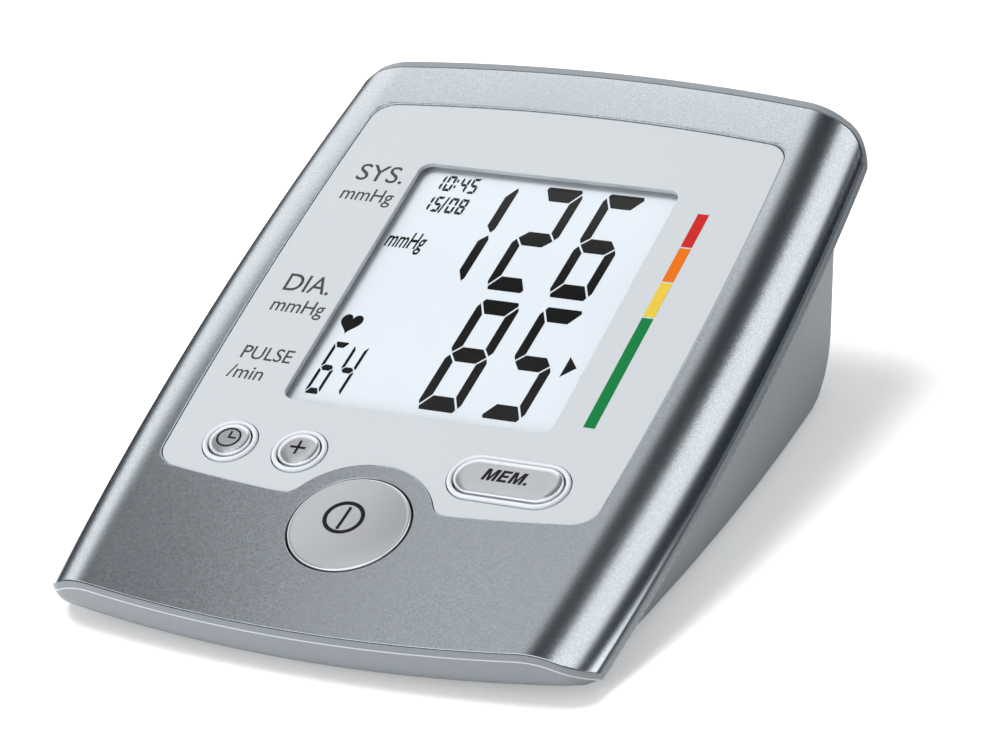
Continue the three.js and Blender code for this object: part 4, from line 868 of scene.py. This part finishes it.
# %% Window under the panel's opening
LENS_LAP, LENS_HIGH, LENS_LOW, LENS_CHAMFER = 1.5, -1.55, -2.55, 0.1
LENS_SHARP = math.radians(20)
levels = [(LENS_LAP - LENS_CHAMFER, LENS_LOW), (LENS_LAP, LENS_LOW + LENS_CHAMFER),
          (LENS_LAP, LENS_HIGH - LENS_CHAMFER), (LENS_LAP - LENS_CHAMFER, LENS_HIGH)]
window = loft_piece("window_sheet", [from_face(*rounded_box(g).T, w) for g, w in levels],
                    "lens", stands_for=["display_window"], sharp=LENS_SHARP,
                    weighted=False)
print("window:", len(window.data.polygons), "faces")

# %% [markdown]
# ## Buttons and collars
# The large start button is turned, so its profile is spun: a broad shallow dish with a
# rounded edge. The photograph shows it lit on the side away from the light, as a dish is.
# The small buttons are pillows on a stadium outline: the same outline is shrunk step by
# step while its height follows a rounded shoulder. A glossy white collar with a half-round
# top stands round each of them.

# %% Start button
BUTTON_SKIRT = 3.2
START_EDGE_ROUND = 0.5
START_MIDDLE = 0.6


def start_height(radius):
    """Dish of the start button: it falls with the square of how far in a place lies."""
    return START["rim"] - START["dish"] * (1 - (radius / START["radius"]) ** 2)


edge_turn = np.linspace(0, math.pi / 2, 7)
dish_radius = np.linspace(START["radius"] - START_EDGE_ROUND, START_MIDDLE, 26)[1:]
profile_r = np.concatenate([[START["radius"]],
                            START["radius"] - START_EDGE_ROUND * (1 - np.cos(edge_turn)),
                            dish_radius])
edge_top = start_height(START["radius"] - START_EDGE_ROUND)
profile_w = np.concatenate([[-BUTTON_SKIRT],
                            edge_top - START_EDGE_ROUND * (1 - np.sin(edge_turn)),
                            start_height(dish_radius)])
start_loops = [from_face(*ring(r).T, w) for r, w in zip(profile_r, profile_w)]
loft_piece("start_cap", start_loops, "button", body="start", stands_for=["start_button"])
print("start button:", len(start_loops), "turned rings")

# %% Small buttons and their collars
SHOULDER, SHOULDER_POWER = 2.3, 2.4
PILLOW_MIDDLE = 0.9
crown = COLLAR_RISE - PANEL_SINK
button_edge = crown - 0.1


def pillow_height(inset):
    """Rounded shoulder over the first stretch of the inset, then nearly flat."""
    t = np.clip(inset / SHOULDER, 0, 1)
    return button_edge + SMALL_DOME * np.sqrt(1 - (1 - t) ** SHOULDER_POWER)


for key, button in SMALL_BUTTONS.items():
    insets = np.concatenate([SHOULDER * (1 - np.cos(np.linspace(0, math.pi / 2, 14))),
                             [button["radius"] - PILLOW_MIDDLE]])
    loops = [from_face(*stadium(button).T, -BUTTON_SKIRT)]
    loops += [from_face(*stadium(button, -i).T, pillow_height(i)) for i in insets]
    loft_piece(f"{key}_cap", loops, "button", body=key, stands_for=[f"{key}_button"])
    radius, foot = COLLAR_WIDTH / 2, -PANEL_SINK - PANEL_THICK
    rows = [(COLLAR_WIDTH, foot), (0.0, foot)]
    rows[1:1] = [(radius + radius * math.cos(a), crown - radius + radius * math.sin(a))
                 for a in np.linspace(0, math.pi, 15)]
    loops = [from_face(*stadium(button, FIT + out).T, height) for out, height in rows]
    loft_piece(f"{key}_ring", loops, "white", low_cap=False, high_cap=False,
               stands_for=[f"{key}_collar"])
print("small buttons:", ", ".join(SMALL_BUTTONS))

# %% [markdown]
# ## Thin prints
# Words, symbols and the coloured bar are printed. A print is made here as a very thin
# plate just above what it is printed on, so it rides as a piece of its own.
# Each plate starts from flat outlines; a height function lets it follow the dish.


# %% Plates from outlines
PRINT_LIFT, PRINT_THICK = 0.012, 0.03


def plate(name, shapes, finish, height, **options):
    """Closed thin plates: every shape is an outline with any holes, raised off height."""
    points, faces, used = [], [], 0
    for loops in shapes:
        flat = np.concatenate(loops)
        level = height(*flat.T) + PRINT_LIFT
        count = len(flat)
        points += [from_face(*flat.T, level), from_face(*flat.T, level + PRINT_THICK)]
        caps = fill(loops)
        faces += [[used + i for i in f[::-1]] for f in caps]
        faces += [[used + count + i for i in f] for f in caps]
        start = used
        for loop in loops:
            at = start + np.arange(len(loop))
            faces += band(at, at + count)
            start += len(loop)
        used += 2 * count
    return make_piece(name, np.concatenate(points), faces, finish, weighted=False,
                      merge=1e-9, **options)


def level_at(w):
    """A height function for a flat surface."""
    return lambda u, v: np.full(np.shape(u), float(w))


def box_shape(u0, u1, v0, v1):
    """A plain rectangle outline."""
    return [np.array([[u0, v0], [u1, v0], [u1, v1], [u0, v1]])]


PANEL_TOP = level_at(-PANEL_SINK)
BAR = dict(left=34.85, right=37.25, gap=0.42)
BAR_BREAKS = [("red", 112.6, 122.4), ("orange", 102.4, 112.6), ("yellow", 92.2, 102.4),
              ("green", 60.95, 92.2)]
for tone, low, high in BAR_BREAKS:
    top = high - (BAR["gap"] if tone != "red" else 0)
    plate(f"bar_{tone}", [box_shape(BAR["left"], BAR["right"], low, top)], tone, PANEL_TOP,
          slot="panel")
print("bar:", [b[0] for b in BAR_BREAKS])

# %% [markdown]
# ## The digits of the display
# A seven-segment digit is seven straight bars. On a good display the bars are mitred into
# each other and parted by an even thin gap. Each bar starts as an exact polygon that
# touches its neighbours, and every polygon is then shrunk by half the gap, which gives
# the gap the same width along every joint. The numbers shown are invented.


# %% Segments as polygons
def shrink(polygon, distance):
    """A convex counter-clockwise polygon with every side moved in by a distance."""
    run = np.roll(polygon, -1, 0) - polygon
    normal = np.stack([-run[:, 1], run[:, 0]], -1)
    normal /= np.linalg.norm(normal, axis=1, keepdims=True)
    offset = (polygon * normal).sum(1) + distance
    before_n, before_o = np.roll(normal, 1, 0), np.roll(offset, 1)
    cross = before_n[:, 0] * normal[:, 1] - before_n[:, 1] * normal[:, 0]
    return np.stack([(before_o * normal[:, 1] - offset * before_n[:, 1]) / cross,
                     (before_n[:, 0] * offset - normal[:, 0] * before_o) / cross], -1)


SEGMENTS = {"0": "abcdef", "1": "bc", "2": "abdeg", "3": "abcdg", "4": "bcfg", "5": "acdfg",
            "6": "acdefg", "7": "abc", "8": "abcdefg", "9": "abcdfg"}
CUT_ACROSS, CUT_ALONG, MITRE, TIP, HEEL = 0.42, 0.34, 0.24, 0.3, 1.6


def digit(figure, u, v, width, height, upright, level, gap, slant=0.03):
    """Polygons of one digit: upright and level are the stroke widths of its bars."""
    mid, cut_u, cut_v, tip = height / 2, upright * CUT_ACROSS, level * CUT_ALONG, upright * TIP
    mitre = np.array([upright, -level]) * MITRE
    top_left = np.array([0.0, height]) + mitre
    a = np.array([[cut_u, height], top_left, [upright, height - level],
                  [width - upright, height - level], [width - mitre[0], height + mitre[1]],
                  [width - cut_u, height]])
    f = np.array([top_left, [0, height - cut_v * HEEL], [0, mid + cut_v], [tip, mid],
                  [upright, mid + level / 2], [upright, height - level]])
    g = np.array([[tip, mid], [upright, mid - level / 2],
                  [width - upright, mid - level / 2], [width - tip, mid],
                  [width - upright, mid + level / 2], [upright, mid + level / 2]])
    bars = {"a": a, "f": f, "g": g, "b": (f * [-1, 1] + [width, 0])[::-1]}
    for lower, higher in ("da", "ef", "cb"):
        bars[lower] = (bars[higher] * [1, -1] + [0, height])[::-1]
    shapes = []
    for name in SEGMENTS[figure]:
        polygon = shrink(bars[name], gap / 2) + [u, v]
        polygon[:, 0] += slant * (polygon[:, 1] - v)
        shapes.append([polygon])
    return shapes


DISPLAY_FACE = -2.85
LCD_TOP = level_at(DISPLAY_FACE)
BIG = dict(width=9.5, upright=2.45, level=4.5, gap=0.42)
COLUMNS = [-16.6, -2.3, 11.4]
READINGS = (("126", COLUMNS, 96.3, 31.5), ("85", COLUMNS[1:], 61.7, 32.2))
shapes = []
for text, columns, v, height in READINGS:
    for figure, u in zip(text, columns):
        shapes += digit(figure, u, v, height=height, **BIG)
plate("reading_digits", shapes, "segment", LCD_TOP, slot="lcd")
PULSE = dict(width=3.5, height=15.2, upright=0.95, level=1.9, gap=0.3)
PULSE_V = 61.8
pulse = digit("6", -26.6, PULSE_V, **PULSE) + digit("4", -22.1, PULSE_V, **PULSE)
plate("pulse_digits", pulse, "segment", LCD_TOP, slot="lcd")
print("big digits:", len(shapes), "bars")

# %% Time, date, heart and pointer
TINY = dict(width=1.9, height=4.8, upright=0.6, level=0.86, gap=0.1)
tiny = []
for text, v in (("10 45", 122.9), ("15 08", 116.5)):
    for place, figure in zip((-25.4, -23.1, 0, -19.9, -17.6), text):
        if figure != " ":
            tiny += digit(figure, place, v, slant=0.05, **TINY)
tiny += [box_shape(-20.85, -20.4, 124.1, 124.9), box_shape(-20.8, -20.35, 125.9, 126.7)]
tiny.append([np.array([[-21.1, 116.4], [-20.7, 116.4], [-20.1, 121.3], [-20.5, 121.3]])])
plate("clock_digits", tiny, "segment", LCD_TOP, slot="lcd")

turn = np.linspace(0, 2 * math.pi, 61)[:-1]
heart = np.stack([16 * np.sin(turn) ** 3,
                  13 * np.cos(turn) - 5 * np.cos(2 * turn) - 2 * np.cos(3 * turn)
                  - np.cos(4 * turn)], -1)
heart = heart / 16 * [2.35, 3.1] + [-25.3, 82.4]
pointer = np.array([[23.4, 75.3], [25.9, 78.2], [23.5, 81.0]])
plate("heart_mark", [[heart[::-1]]], "segment", LCD_TOP, slot="lcd")
plate("pointer_mark", [[pointer]], "segment", LCD_TOP, slot="lcd")
print("small marks on the display done")

# %% [markdown]
# ## Words
# The words come from Blender's own letters. A text object gives the outlines; its mesh is
# then stretched to the measured width and letter height, placed on the face and given the
# same thin plate shape as the other prints. The place at the top of the panel stays bare.

# %% Letters into plates
CAPITAL = 0.729


def lettering(name, text, left, right, base, cap, finish, height, slot, weight, shear=0.0):
    """Words between two places, with their foot on base and capitals cap high."""
    curve = bpy.data.curves.new(name, "FONT")
    curve.body, curve.resolution_u, curve.extrude = text, 6, 0.01
    curve.offset, curve.shear = weight, shear
    holder = bpy.data.objects.new(name + "_outline", curve)
    bpy.context.scene.collection.objects.link(holder)
    bpy.context.view_layer.update()
    mesh = bpy.data.meshes.new_from_object(holder)
    bpy.data.objects.remove(holder)
    co = np.zeros(len(mesh.vertices) * 3, np.float32)
    mesh.vertices.foreach_get("co", co)
    co = co.reshape(-1, 3).astype(float)
    u = left + (co[:, 0] - co[:, 0].min()) / np.ptp(co[:, 0]) * (right - left)
    v = base + co[:, 1] / CAPITAL * cap
    w = height(u, v) + PRINT_LIFT + (co[:, 2] > 0) * PRINT_THICK
    faces = [list(p.vertices) for p in mesh.polygons]
    bpy.data.meshes.remove(mesh)
    make_piece(name, from_face(u, v, w), faces, finish, slot=slot, weighted=False, merge=1e-9)


LETTER_WEIGHT, UNIT_WEIGHT = 0.002, 0.012
LABELS = {
    "sys": ("SYS.", -41.6, -31.0, 121.1, 5.2), "sys_unit": ("mmHg", -42.4, -30.7, 115.0, 4.0),
    "dia": ("DIA.", -42.4, -32.2, 86.9, 5.2), "dia_unit": ("mmHg", -42.5, -30.7, 80.9, 4.0),
    "pulse": ("PULSE", -42.5, -31.4, 66.9, 3.8), "minute": ("/min", -43.0, -35.3, 61.3, 3.8),
}
for name, measures in LABELS.items():
    lettering(f"label_{name}", *measures, "ink", PANEL_TOP, "panel", LETTER_WEIGHT)
lettering("display_unit", "mmHg", -28.3, -19.6, 105.2, 4.9, "segment", LCD_TOP, "lcd",
          UNIT_WEIGHT, shear=0.15)
pillow_top = level_at(button_edge + SMALL_DOME)
print("words:", [measures[0] for measures in LABELS.values()])


# %% The bold word on the memory button
def bold_word(left, base, height, stroke=0.62, lean=0.2):
    """M, E, M and a stop as plain outlines with heavy strokes, leaning to the right."""
    wide, narrow, gap, bar = 2.75, 1.95, 0.42, stroke * 0.9
    top, slope, half = height, 1.35 * stroke, wide / 2
    m = [(0, 0), (stroke, 0), (stroke, 0.72 * top), (half - 0.42 * stroke, 0),
         (half + 0.42 * stroke, 0), (wide - stroke, 0.72 * top), (wide - stroke, 0),
         (wide, 0), (wide, top), (wide - slope, top), (half, 0.34 * top), (slope, top),
         (0, top)]
    middle = (top - bar) / 2
    e = [(0, 0), (narrow, 0), (narrow, bar), (stroke, bar), (stroke, middle),
         (narrow * 0.92, middle), (narrow * 0.92, middle + bar), (stroke, middle + bar),
         (stroke, top - bar), (narrow, top - bar), (narrow, top), (0, top)]
    stop = [(0, 0), (stroke, 0), (stroke, stroke), (0, stroke)]
    shapes, at = [], left
    for outline, width in ((m, wide), (e, narrow), (m, wide), (stop, stroke)):
        outline = np.array(outline, float)
        outline[:, 0] += at + lean * outline[:, 1]
        shapes.append([outline + [0, base]])
        at += width + gap
    return shapes


plate("memory_word", bold_word(21.1, 43.1, 3.0), "black_ink", pillow_top, body="memory",
      slot="button")
print("words placed")


# %% Symbols on the buttons
def ring_shape(u, v, outer, inner, steps=64):
    """A ring between two circles, as an outline with a hole."""
    big, small = (arc((u, v), radius, 0, 2 * math.pi, steps)[:-1] for radius in (outer, inner))
    return [big, small[::-1]]


def bar_shape(start, end, width, pieces=8):
    """A straight bar between two places, cut into pieces so that it follows the dish."""
    start, end = np.asarray(start, float), np.asarray(end, float)
    side = np.array([-(end - start)[1], (end - start)[0]])
    side = side / np.linalg.norm(side) * width / 2
    line = start + (end - start) * np.linspace(0, 1, pieces + 1)[:, None]
    return [np.concatenate([line - side, (line + side)[::-1]])]


def on_start(u, v):
    """Height of the start button's dish."""
    return start_height(np.hypot(u, v - START["v"]))


POWER_U, POWER_V = -1.9, 29.4
clock_u, plus_u = SMALL_BUTTONS["clock"]["u"], SMALL_BUTTONS["plus"]["u"]
SYMBOLS = {
    "start": [ring_shape(POWER_U, POWER_V, 4.15, 3.32),
              bar_shape((POWER_U - 0.2, 26.4), (POWER_U + 0.3, 32.2), 0.62)],
    "clock": [ring_shape(clock_u, SMALL_ROW, 2.55, 2.15),
              bar_shape((clock_u, SMALL_ROW), (clock_u, SMALL_ROW + 1.7), 0.4, 2),
              bar_shape((clock_u - 0.2, SMALL_ROW), (clock_u + 1.5, SMALL_ROW), 0.4, 2)],
    "plus": [bar_shape((plus_u - 1.6, SMALL_ROW), (plus_u + 1.6, SMALL_ROW), 0.55, 2),
             bar_shape((plus_u, SMALL_ROW - 1.8), (plus_u, SMALL_ROW + 1.8), 0.5, 2)],
}
for key, shapes in SYMBOLS.items():
    plate(f"{key}_symbol", shapes, "black_ink", on_start if key == "start" else pillow_top,
          body=key, slot="button")
print("symbols placed")

# %% [markdown]
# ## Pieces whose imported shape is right
# The base, the door and the small parts inside already have their true form. Their
# surfaces are loose flat triangles, so a copy is merged, the triangles that lie in one
# plane are joined, and a narrow bevel rounds the hard edges as a mould does.


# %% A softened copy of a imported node
WELD = 2e-6
FLAT_TURN = math.radians(0.6)


def softened(node, finish, bevel):
    """A merged copy of a node with its flats joined and its hard edges rounded."""
    source = frame["nodes"][node]
    mesh = source.data.copy()
    mesh.materials.clear()
    mesh.materials.append(FINISH[finish])
    work = bmesh.new()
    work.from_mesh(mesh)
    bmesh.ops.remove_doubles(work, verts=work.verts, dist=WELD)
    bmesh.ops.dissolve_limit(work, angle_limit=FLAT_TURN, verts=work.verts, edges=work.edges)
    work.to_mesh(mesh)
    work.free()
    mesh.shade_smooth()
    mesh.set_sharp_from_angle(angle=HARD_TURN)
    place_piece(f"{node}_skin", mesh, source["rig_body"], [node], bevel)


softened("base_housing", "base_grey", 0.25)
softened("battery_door", "base_grey", 0.25)
softened("air_socket", "rim_grey", 0.3)
print("softened copies made")

# %% [markdown]
# ## Soft and wound pieces inside
# The hoses and the springs follow a path, and their rings stay square to it. A hose's path
# runs through a few knots, with a straight lead at each end. The frame of each ring is the
# last frame with the part along the path taken out, so the rings never twist. The cells
# and the feet are turned, so each is a profile of distances and radii carried round.


# %% Paths and rings
def smooth_path(knots, steps=14):
    """Cubic stretches through the knots; the slope at a knot weighs the two gaps beside it
    by the square roots of their lengths, so that close knots give no loops."""
    knots = np.concatenate([[2 * knots[0] - knots[1]], knots, [2 * knots[-1] - knots[-2]]])
    gaps = np.sqrt(np.linalg.norm(np.diff(knots, axis=0), axis=1))
    t = np.linspace(0, 1, steps)[:, None]
    path = []
    for i in range(1, len(knots) - 2):
        a, b, c, d = knots[i - 1:i + 3]
        before, gap, after = gaps[i - 1:i + 2]
        leave = ((b - a) / before - (c - a) / (before + gap) + (c - b) / gap) * gap
        arrive = ((c - b) / gap - (d - b) / (gap + after) + (d - c) / after) * gap
        stretch = b + leave * t + (3 * (c - b) - 2 * leave - arrive) * t ** 2 \
            + (2 * (b - c) + leave + arrive) * t ** 3
        path.append(stretch[:-1])
    return np.concatenate(path + [knots[-2:-1]])


def rings_along(path, radius, sides):
    """Rings of one radius square to a path, without twist."""
    run = unit_rows(np.gradient(path, axis=0))
    across = np.cross(run[0], [0.31, 0.43, 0.85])
    turn = np.linspace(0, 2 * math.pi, sides, endpoint=False)[:, None]
    rings = []
    for place, ahead in zip(path, run):
        across = across - ahead * (across @ ahead)
        across = across / np.linalg.norm(across)
        rings.append(place + radius * (np.cos(turn) * across
                                       + np.sin(turn) * np.cross(ahead, across)))
    return rings


# %% Hoses
HOSE_RADIUS, HOSE_BORE, HOSE_LEAD = 2.0, 1.1, 4.4
LEAD = np.array([FIT, FIT + HOSE_LEAD / 2, FIT + HOSE_LEAD])


def lead(x, y, z, dx, dy):
    """Three places straight out of a nozzle, in the stand's frame, as metres."""
    return from_stand(x + LEAD * dx, y + LEAD * dy, z)


VALVE_MID, SENSOR_U, SENSOR_PORT = 24.75, -35.4, -12.4
HOSES = {
    "pump_hose": [lead(-16.3, 123.5, 31.0, -1, 0), lead(-27, 110, VALVE_MID, 0, 1)[::-1]],
    "socket_hose": [lead(-31.5, 104, VALVE_MID, -1, 0), lead(-41.445, 92, 15, 1, 0)[::-1]],
    "sensor_hose": [from_face(SENSOR_U, 61 + LEAD, SENSOR_PORT),
                    from_face([SENSOR_U], 78, SENSOR_PORT),
                    lead(-27, 98, VALVE_MID, 0, -1)[::-1]],
}
for name, knots in HOSES.items():
    path = smooth_path(np.concatenate(knots))
    wall = rings_along(path, HOSE_RADIUS / 1000, 28)
    bore = rings_along(path, HOSE_BORE / 1000, 28)
    loft_piece(f"{name}_tube", wall + bore[::-1], "natural", low_cap=False, high_cap=False,
               stands_for=[name])
print(", ".join(HOSES))

# %% Springs behind the cells
CELL_X, CELL_Z, CELL_RADIUS = (-22.8, -7.6, 7.6, 22.8), 10.5, 7.1
BAY_FRONT, BAY_BACK, CELL_LENGTH, NUB_LENGTH, NUB_SINK = 72.0, 131.0, 49.3, 1.2, 1.1
SLEEVE_START, SLEEVE_CHANGE, SLEEVE_END = 1.87, 14.2, 50.1
SPRING = dict(turns=3, wire=0.35, wide=4.0, narrow=2.2, plate=0.8)
for number, x in enumerate(CELL_X, 1):
    forward = number % 2 == 1
    side = 1 if forward else -1
    nub = BAY_FRONT + NUB_SINK if forward else BAY_BACK - NUB_SINK
    tail = nub + side * (NUB_LENGTH + CELL_LENGTH)
    plate_y = BAY_BACK - SPRING["plate"] if forward else BAY_FRONT + SPRING["plate"]
    t = np.linspace(0, 1, SPRING["turns"] * 40)
    turn = 2 * math.pi * SPRING["turns"] * t
    radius = SPRING["wide"] + (SPRING["narrow"] - SPRING["wide"]) * t
    room = side * (FIT + SPRING["wire"])
    coil = from_stand(x + radius * np.cos(turn), plate_y - room + (tail - plate_y + 2 * room) * t,
                      CELL_Z + radius * np.sin(turn))
    loft_piece(f"contact_spring_{number}_coil",
               rings_along(coil, SPRING["wire"] / 1000, 10), "metal",
               stands_for=[f"contact_spring_{number}"])

    # The cell in front of this spring, from its nub to its tail
    profile = np.array([(0, 0.4), (0, 2.3), (0.1, 2.58), (0.35, 2.7), (NUB_LENGTH, 2.7),
                        (1.2, 6.2), (1.24, 6.7), (1.5, 7.0), (1.85, 7.02),
                        (1.9, CELL_RADIUS), (14.0, CELL_RADIUS), (14.05, 7.06), (14.3, 7.06),
                        (14.35, CELL_RADIUS), (50.0, CELL_RADIUS), (50.25, 7.02),
                        (50.44, 6.75), (50.5, 6.3), (50.46, 5.7), (50.25, 5.4), (50.25, 0.4)])
    around = np.linspace(0, 2 * math.pi, 72, endpoint=False)
    rings = [from_stand(x + r * np.cos(around), nub + side * d, CELL_Z + r * np.sin(around))
             for d, r in profile]
    cell = loft_piece(f"battery_{number}_cell", rings, "cell",
                      stands_for=[f"battery_{number}"])
    cell.data.materials.append(FINISH["metal"])
    cell.data.materials.append(FINISH["black"])
    along_cell = [abs(p.center[1] * 1000 + MID_Y - nub) for p in cell.data.polygons]
    dressed = [1 if d < SLEEVE_START or d > SLEEVE_END else 2 if d < SLEEVE_CHANGE else 0
               for d in along_cell]
    cell.data.polygons.foreach_set("material_index", dressed)
print("springs and cells:", len(CELL_X))

# %% Feet
FOOT_PROFILE = [(0.4, 0), (2.9, 0), (3.0, 0.16), (3.5, 0.16), (3.6, 0), (4.6, 0),
                (4.85, 0.06), (4.96, 0.18), (5, 0.35), (5, 1.45), (4.85, 1.6), (0.4, 1.6)]
around = np.linspace(0, 2 * math.pi, 64, endpoint=False)
FEET = {"front_left": (-42, 24), "front_right": (42, 24), "rear_left": (-41, 126),
        "rear_right": (41, 126)}
for name, (x, y) in FEET.items():
    rings = [from_stand(x + r * np.cos(around), y + r * np.sin(around), z)
             for r, z in FOOT_PROFILE]
    loft_piece(f"foot_{name}_pad", rings, "rubber", stands_for=[f"foot_{name}"])
print("feet:", len(FEET))

# %% [markdown]
# ## Everything else
# The saddle is soft foam and the contact strip soft rubber, so their edges are rounded
# well. The small hard pieces get the narrow bevel of a real edge. All take a procedural
# finish by the slot that the record names for them.

# %% Rounded copies and finishes by slot
slot_of = {part["node"]: part["material_slot"] for part in frame["record"]["subparts"]}
softened("pump_saddle", "foam", 0.7)
softened("contact_strip", "rubber", 0.35)
SMALL_EDGES = {
    0.35: ["pump_motor"], 0.3: ["pump_head", "release_valve"], 0.25: ["pressure_sensor"],
    0.15: ["start_switch", "clock_switch", "plus_switch", "memory_switch", "display_holder"],
    0.08: ["main_board", "display_glass"],
    0.12: ["contact_front_left", "contact_front_right", "contact_rear_left",
           "contact_rear_middle", "contact_rear_right", "case_screw_1", "case_screw_2",
           "case_screw_3", "case_screw_4"],
}
for bevel, nodes in SMALL_EDGES.items():
    for node in nodes:
        softened(node, slot_of[node], bevel)
print("rounded:", sum(map(len, SMALL_EDGES.values())), "small pieces")

# %% [markdown]
# ## The studio
# The floor is plain and pale and keeps the soft shadow. A key lamp high at the left gives
# the shadow its side, a weak lamp low at the front lights the base, and the world fills
# the rest evenly. Metal needs something to mirror: it sees the same white room as the
# camera, and a few dark cards stand where a photographer would put them. Only reflections
# see the cards. They give the rolled sides their dark bands and keep the display dark.

# %% Floor and world
FLOOR_HALF, FLOOR_GLOW, WORLD_FILL = 4.0, 0.28, 0.5


def lying(x0, x1, y0, y1, z):
    """Corners of a level rectangle."""
    return [(x0, y0, z), (x1, y0, z), (x1, y1, z), (x0, y1, z)]


def staged_sheet(name, corners):
    """A flat object of the studio by its four corners."""
    mesh = bpy.data.meshes.new(name)
    mesh.from_pydata(corners, [], [(0, 1, 2, 3)])
    sheet = bpy.data.objects.new(name, mesh)
    bpy.context.scene.collection.objects.link(sheet)
    return sheet


floor = staged_sheet("floor", lying(-FLOOR_HALF, FLOOR_HALF, -FLOOR_HALF, FLOOR_HALF, 0))
floor_material, tree, shader, place = start_material("pale_floor", Specular_IOR_Level=0.1,
                                                     Roughness=0.9)
tint = use_group(tree, cloud, Vector=place, Scale=3.0, Colour=(0.93, 0.93, 0.935, 1),
                 Depth=0.01)
path = add_node(tree, "ShaderNodeLightPath")
glow = math_node(tree, "MULTIPLY", path.outputs["Is Camera Ray"], FLOOR_GLOW)
feed(tree, shader, Base_Color=tint.outputs["Colour"], Emission_Strength=glow)
floor.data.materials.append(floor_material)

world = bpy.data.worlds.new("studio")
bpy.context.scene.world = world
world.use_nodes = True
tree = world.node_tree
tree.nodes.clear()
fill_light = add_node(tree, "ShaderNodeBackground", Strength=WORLD_FILL,
                      Color=(0.97, 0.985, 1.0, 1))
white_room = add_node(tree, "ShaderNodeBackground", Strength=1.0, Color=(1, 1, 1, 1))
path = add_node(tree, "ShaderNodeLightPath")
seen = path.outputs["Is Camera Ray"]
for ray in ("Is Glossy Ray", "Is Transmission Ray"):
    seen = math_node(tree, "MAXIMUM", seen, path.outputs[ray])
mixed = add_node(tree, "ShaderNodeMixShader", i0=seen, i1=fill_light.outputs[0],
                 i2=white_room.outputs[0])
add_node(tree, "ShaderNodeOutputWorld", Surface=mixed.outputs[0])
bpy.context.scene.view_settings.view_transform = "Standard"
print("world fill", WORLD_FILL)


# %% Lamps
def soft_lamp(name, place, target, size, power):
    """A square area lamp that looks at a target and that no reflection shows."""
    data = bpy.data.lights.new(name, "AREA")
    data.shape, data.size, data.energy = "SQUARE", size, power
    lamp = bpy.data.objects.new(name, data)
    lamp.location = place
    toward = Vector(target) - Vector(place)
    lamp.rotation_euler = toward.to_track_quat("-Z", "Y").to_euler()
    lamp.visible_glossy = lamp.visible_transmission = False
    bpy.context.scene.collection.objects.link(lamp)


soft_lamp("key_lamp", (-0.40, -0.2, 1.5), (0, 0, 0.03), 0.7, 21.0)
soft_lamp("front_lamp", (-0.45, -1.1, 0.36), (0, -0.05, 0.0), 0.5, 5.5)
print("lamps done")


# %% Dark cards that only reflections see
def dark_card(name, corners, shade, fade):
    """A flat card by its four corners, dark to its shade; it fades to clear over the two
    widths given, in metres, at its sides and at its ends."""
    sides = (Vector(corners[1]) - Vector(corners[0])).length
    ends = (Vector(corners[3]) - Vector(corners[0])).length
    card = staged_sheet(name, corners)
    uv = card.data.uv_layers.new(name="UVMap")
    uv.data.foreach_set("uv", [0, 0, 1, 0, 1, 1, 0, 1])
    material = bpy.data.materials.new(name)
    material.use_nodes = True
    tree = material.node_tree
    tree.nodes.clear()
    place = add_node(tree, "ShaderNodeUVMap", {"uv_map": "UVMap"})
    axes = add_node(tree, "ShaderNodeSeparateXYZ", Vector=place.outputs[0])
    masks = []
    for axis, length, width in (("X", sides, fade[0]), ("Y", ends, fade[1])):
        offset = math_node(tree, "SUBTRACT", axes.outputs[axis], 0.5)
        inset = math_node(tree, "SUBTRACT", 0.5, math_node(tree, "ABSOLUTE", offset))
        ramp = add_node(tree, "ShaderNodeMapRange", {"interpolation_type": "SMOOTHSTEP"},
                        Value=math_node(tree, "MULTIPLY", inset, length / width))
        masks.append(ramp.outputs["Result"])
    solid = math_node(tree, "MULTIPLY", masks[0], masks[1])
    dark = add_node(tree, "ShaderNodeEmission", Strength=1.0,
                    Color=(max(shade - 0.006, 0), shade, shade + 0.007, 1))
    clear = add_node(tree, "ShaderNodeBsdfTransparent")
    mixed = add_node(tree, "ShaderNodeMixShader", i0=solid, i1=clear.outputs[0],
                     i2=dark.outputs[0])
    add_node(tree, "ShaderNodeOutputMaterial", Surface=mixed.outputs[0])
    card.data.materials.append(material)
    card.visible_camera = card.visible_diffuse = card.visible_shadow = False


def standing(x, y0, y1, z0, z1):
    """Corners of an upright rectangle that runs along y."""
    return [(x, y0, z0), (x, y1, z0), (x, y1, z1), (x, y0, z1)]


CARDS = {
    "over_front": (lying(-0.52, 0.02, -0.5, 0.17, 0.350), 0.5, (0.06, 0.05)),
    "over_corner": (lying(-0.52, -0.165, -0.5, 0.2, 0.345), 0.08, (0.07, 0.05)),
    "over_window": (lying(-0.33, 0.0, 0.10, 0.212, 0.356), 0.02, (0.1, 0.04)),
    "over_roll": (lying(-0.045, 0.26, -0.3, 0.7, 0.359), 0.02, (0.07, 0.2)),
    "low_right": (lying(0.064, 0.5, -0.3, 0.5, 0.002), 0.02, (0.02, 0.1)),
    "low_left": (lying(-0.5, -0.064, -0.3, 0.6, 0.002), 0.02, (0.02, 0.1)),
    "wall_right": (standing(0.4, -0.3, 1.2, -0.1, 0.17), 0.02, (0.1, 0.09)),
    "wall_left": (standing(-0.5, -0.3, 1.2, -0.1, 0.15), 0.02, (0.1, 0.08)),
}
for name, (corners, shade, fade) in CARDS.items():
    dark_card(f"card_{name}", corners, shade, fade)
print("cards placed")
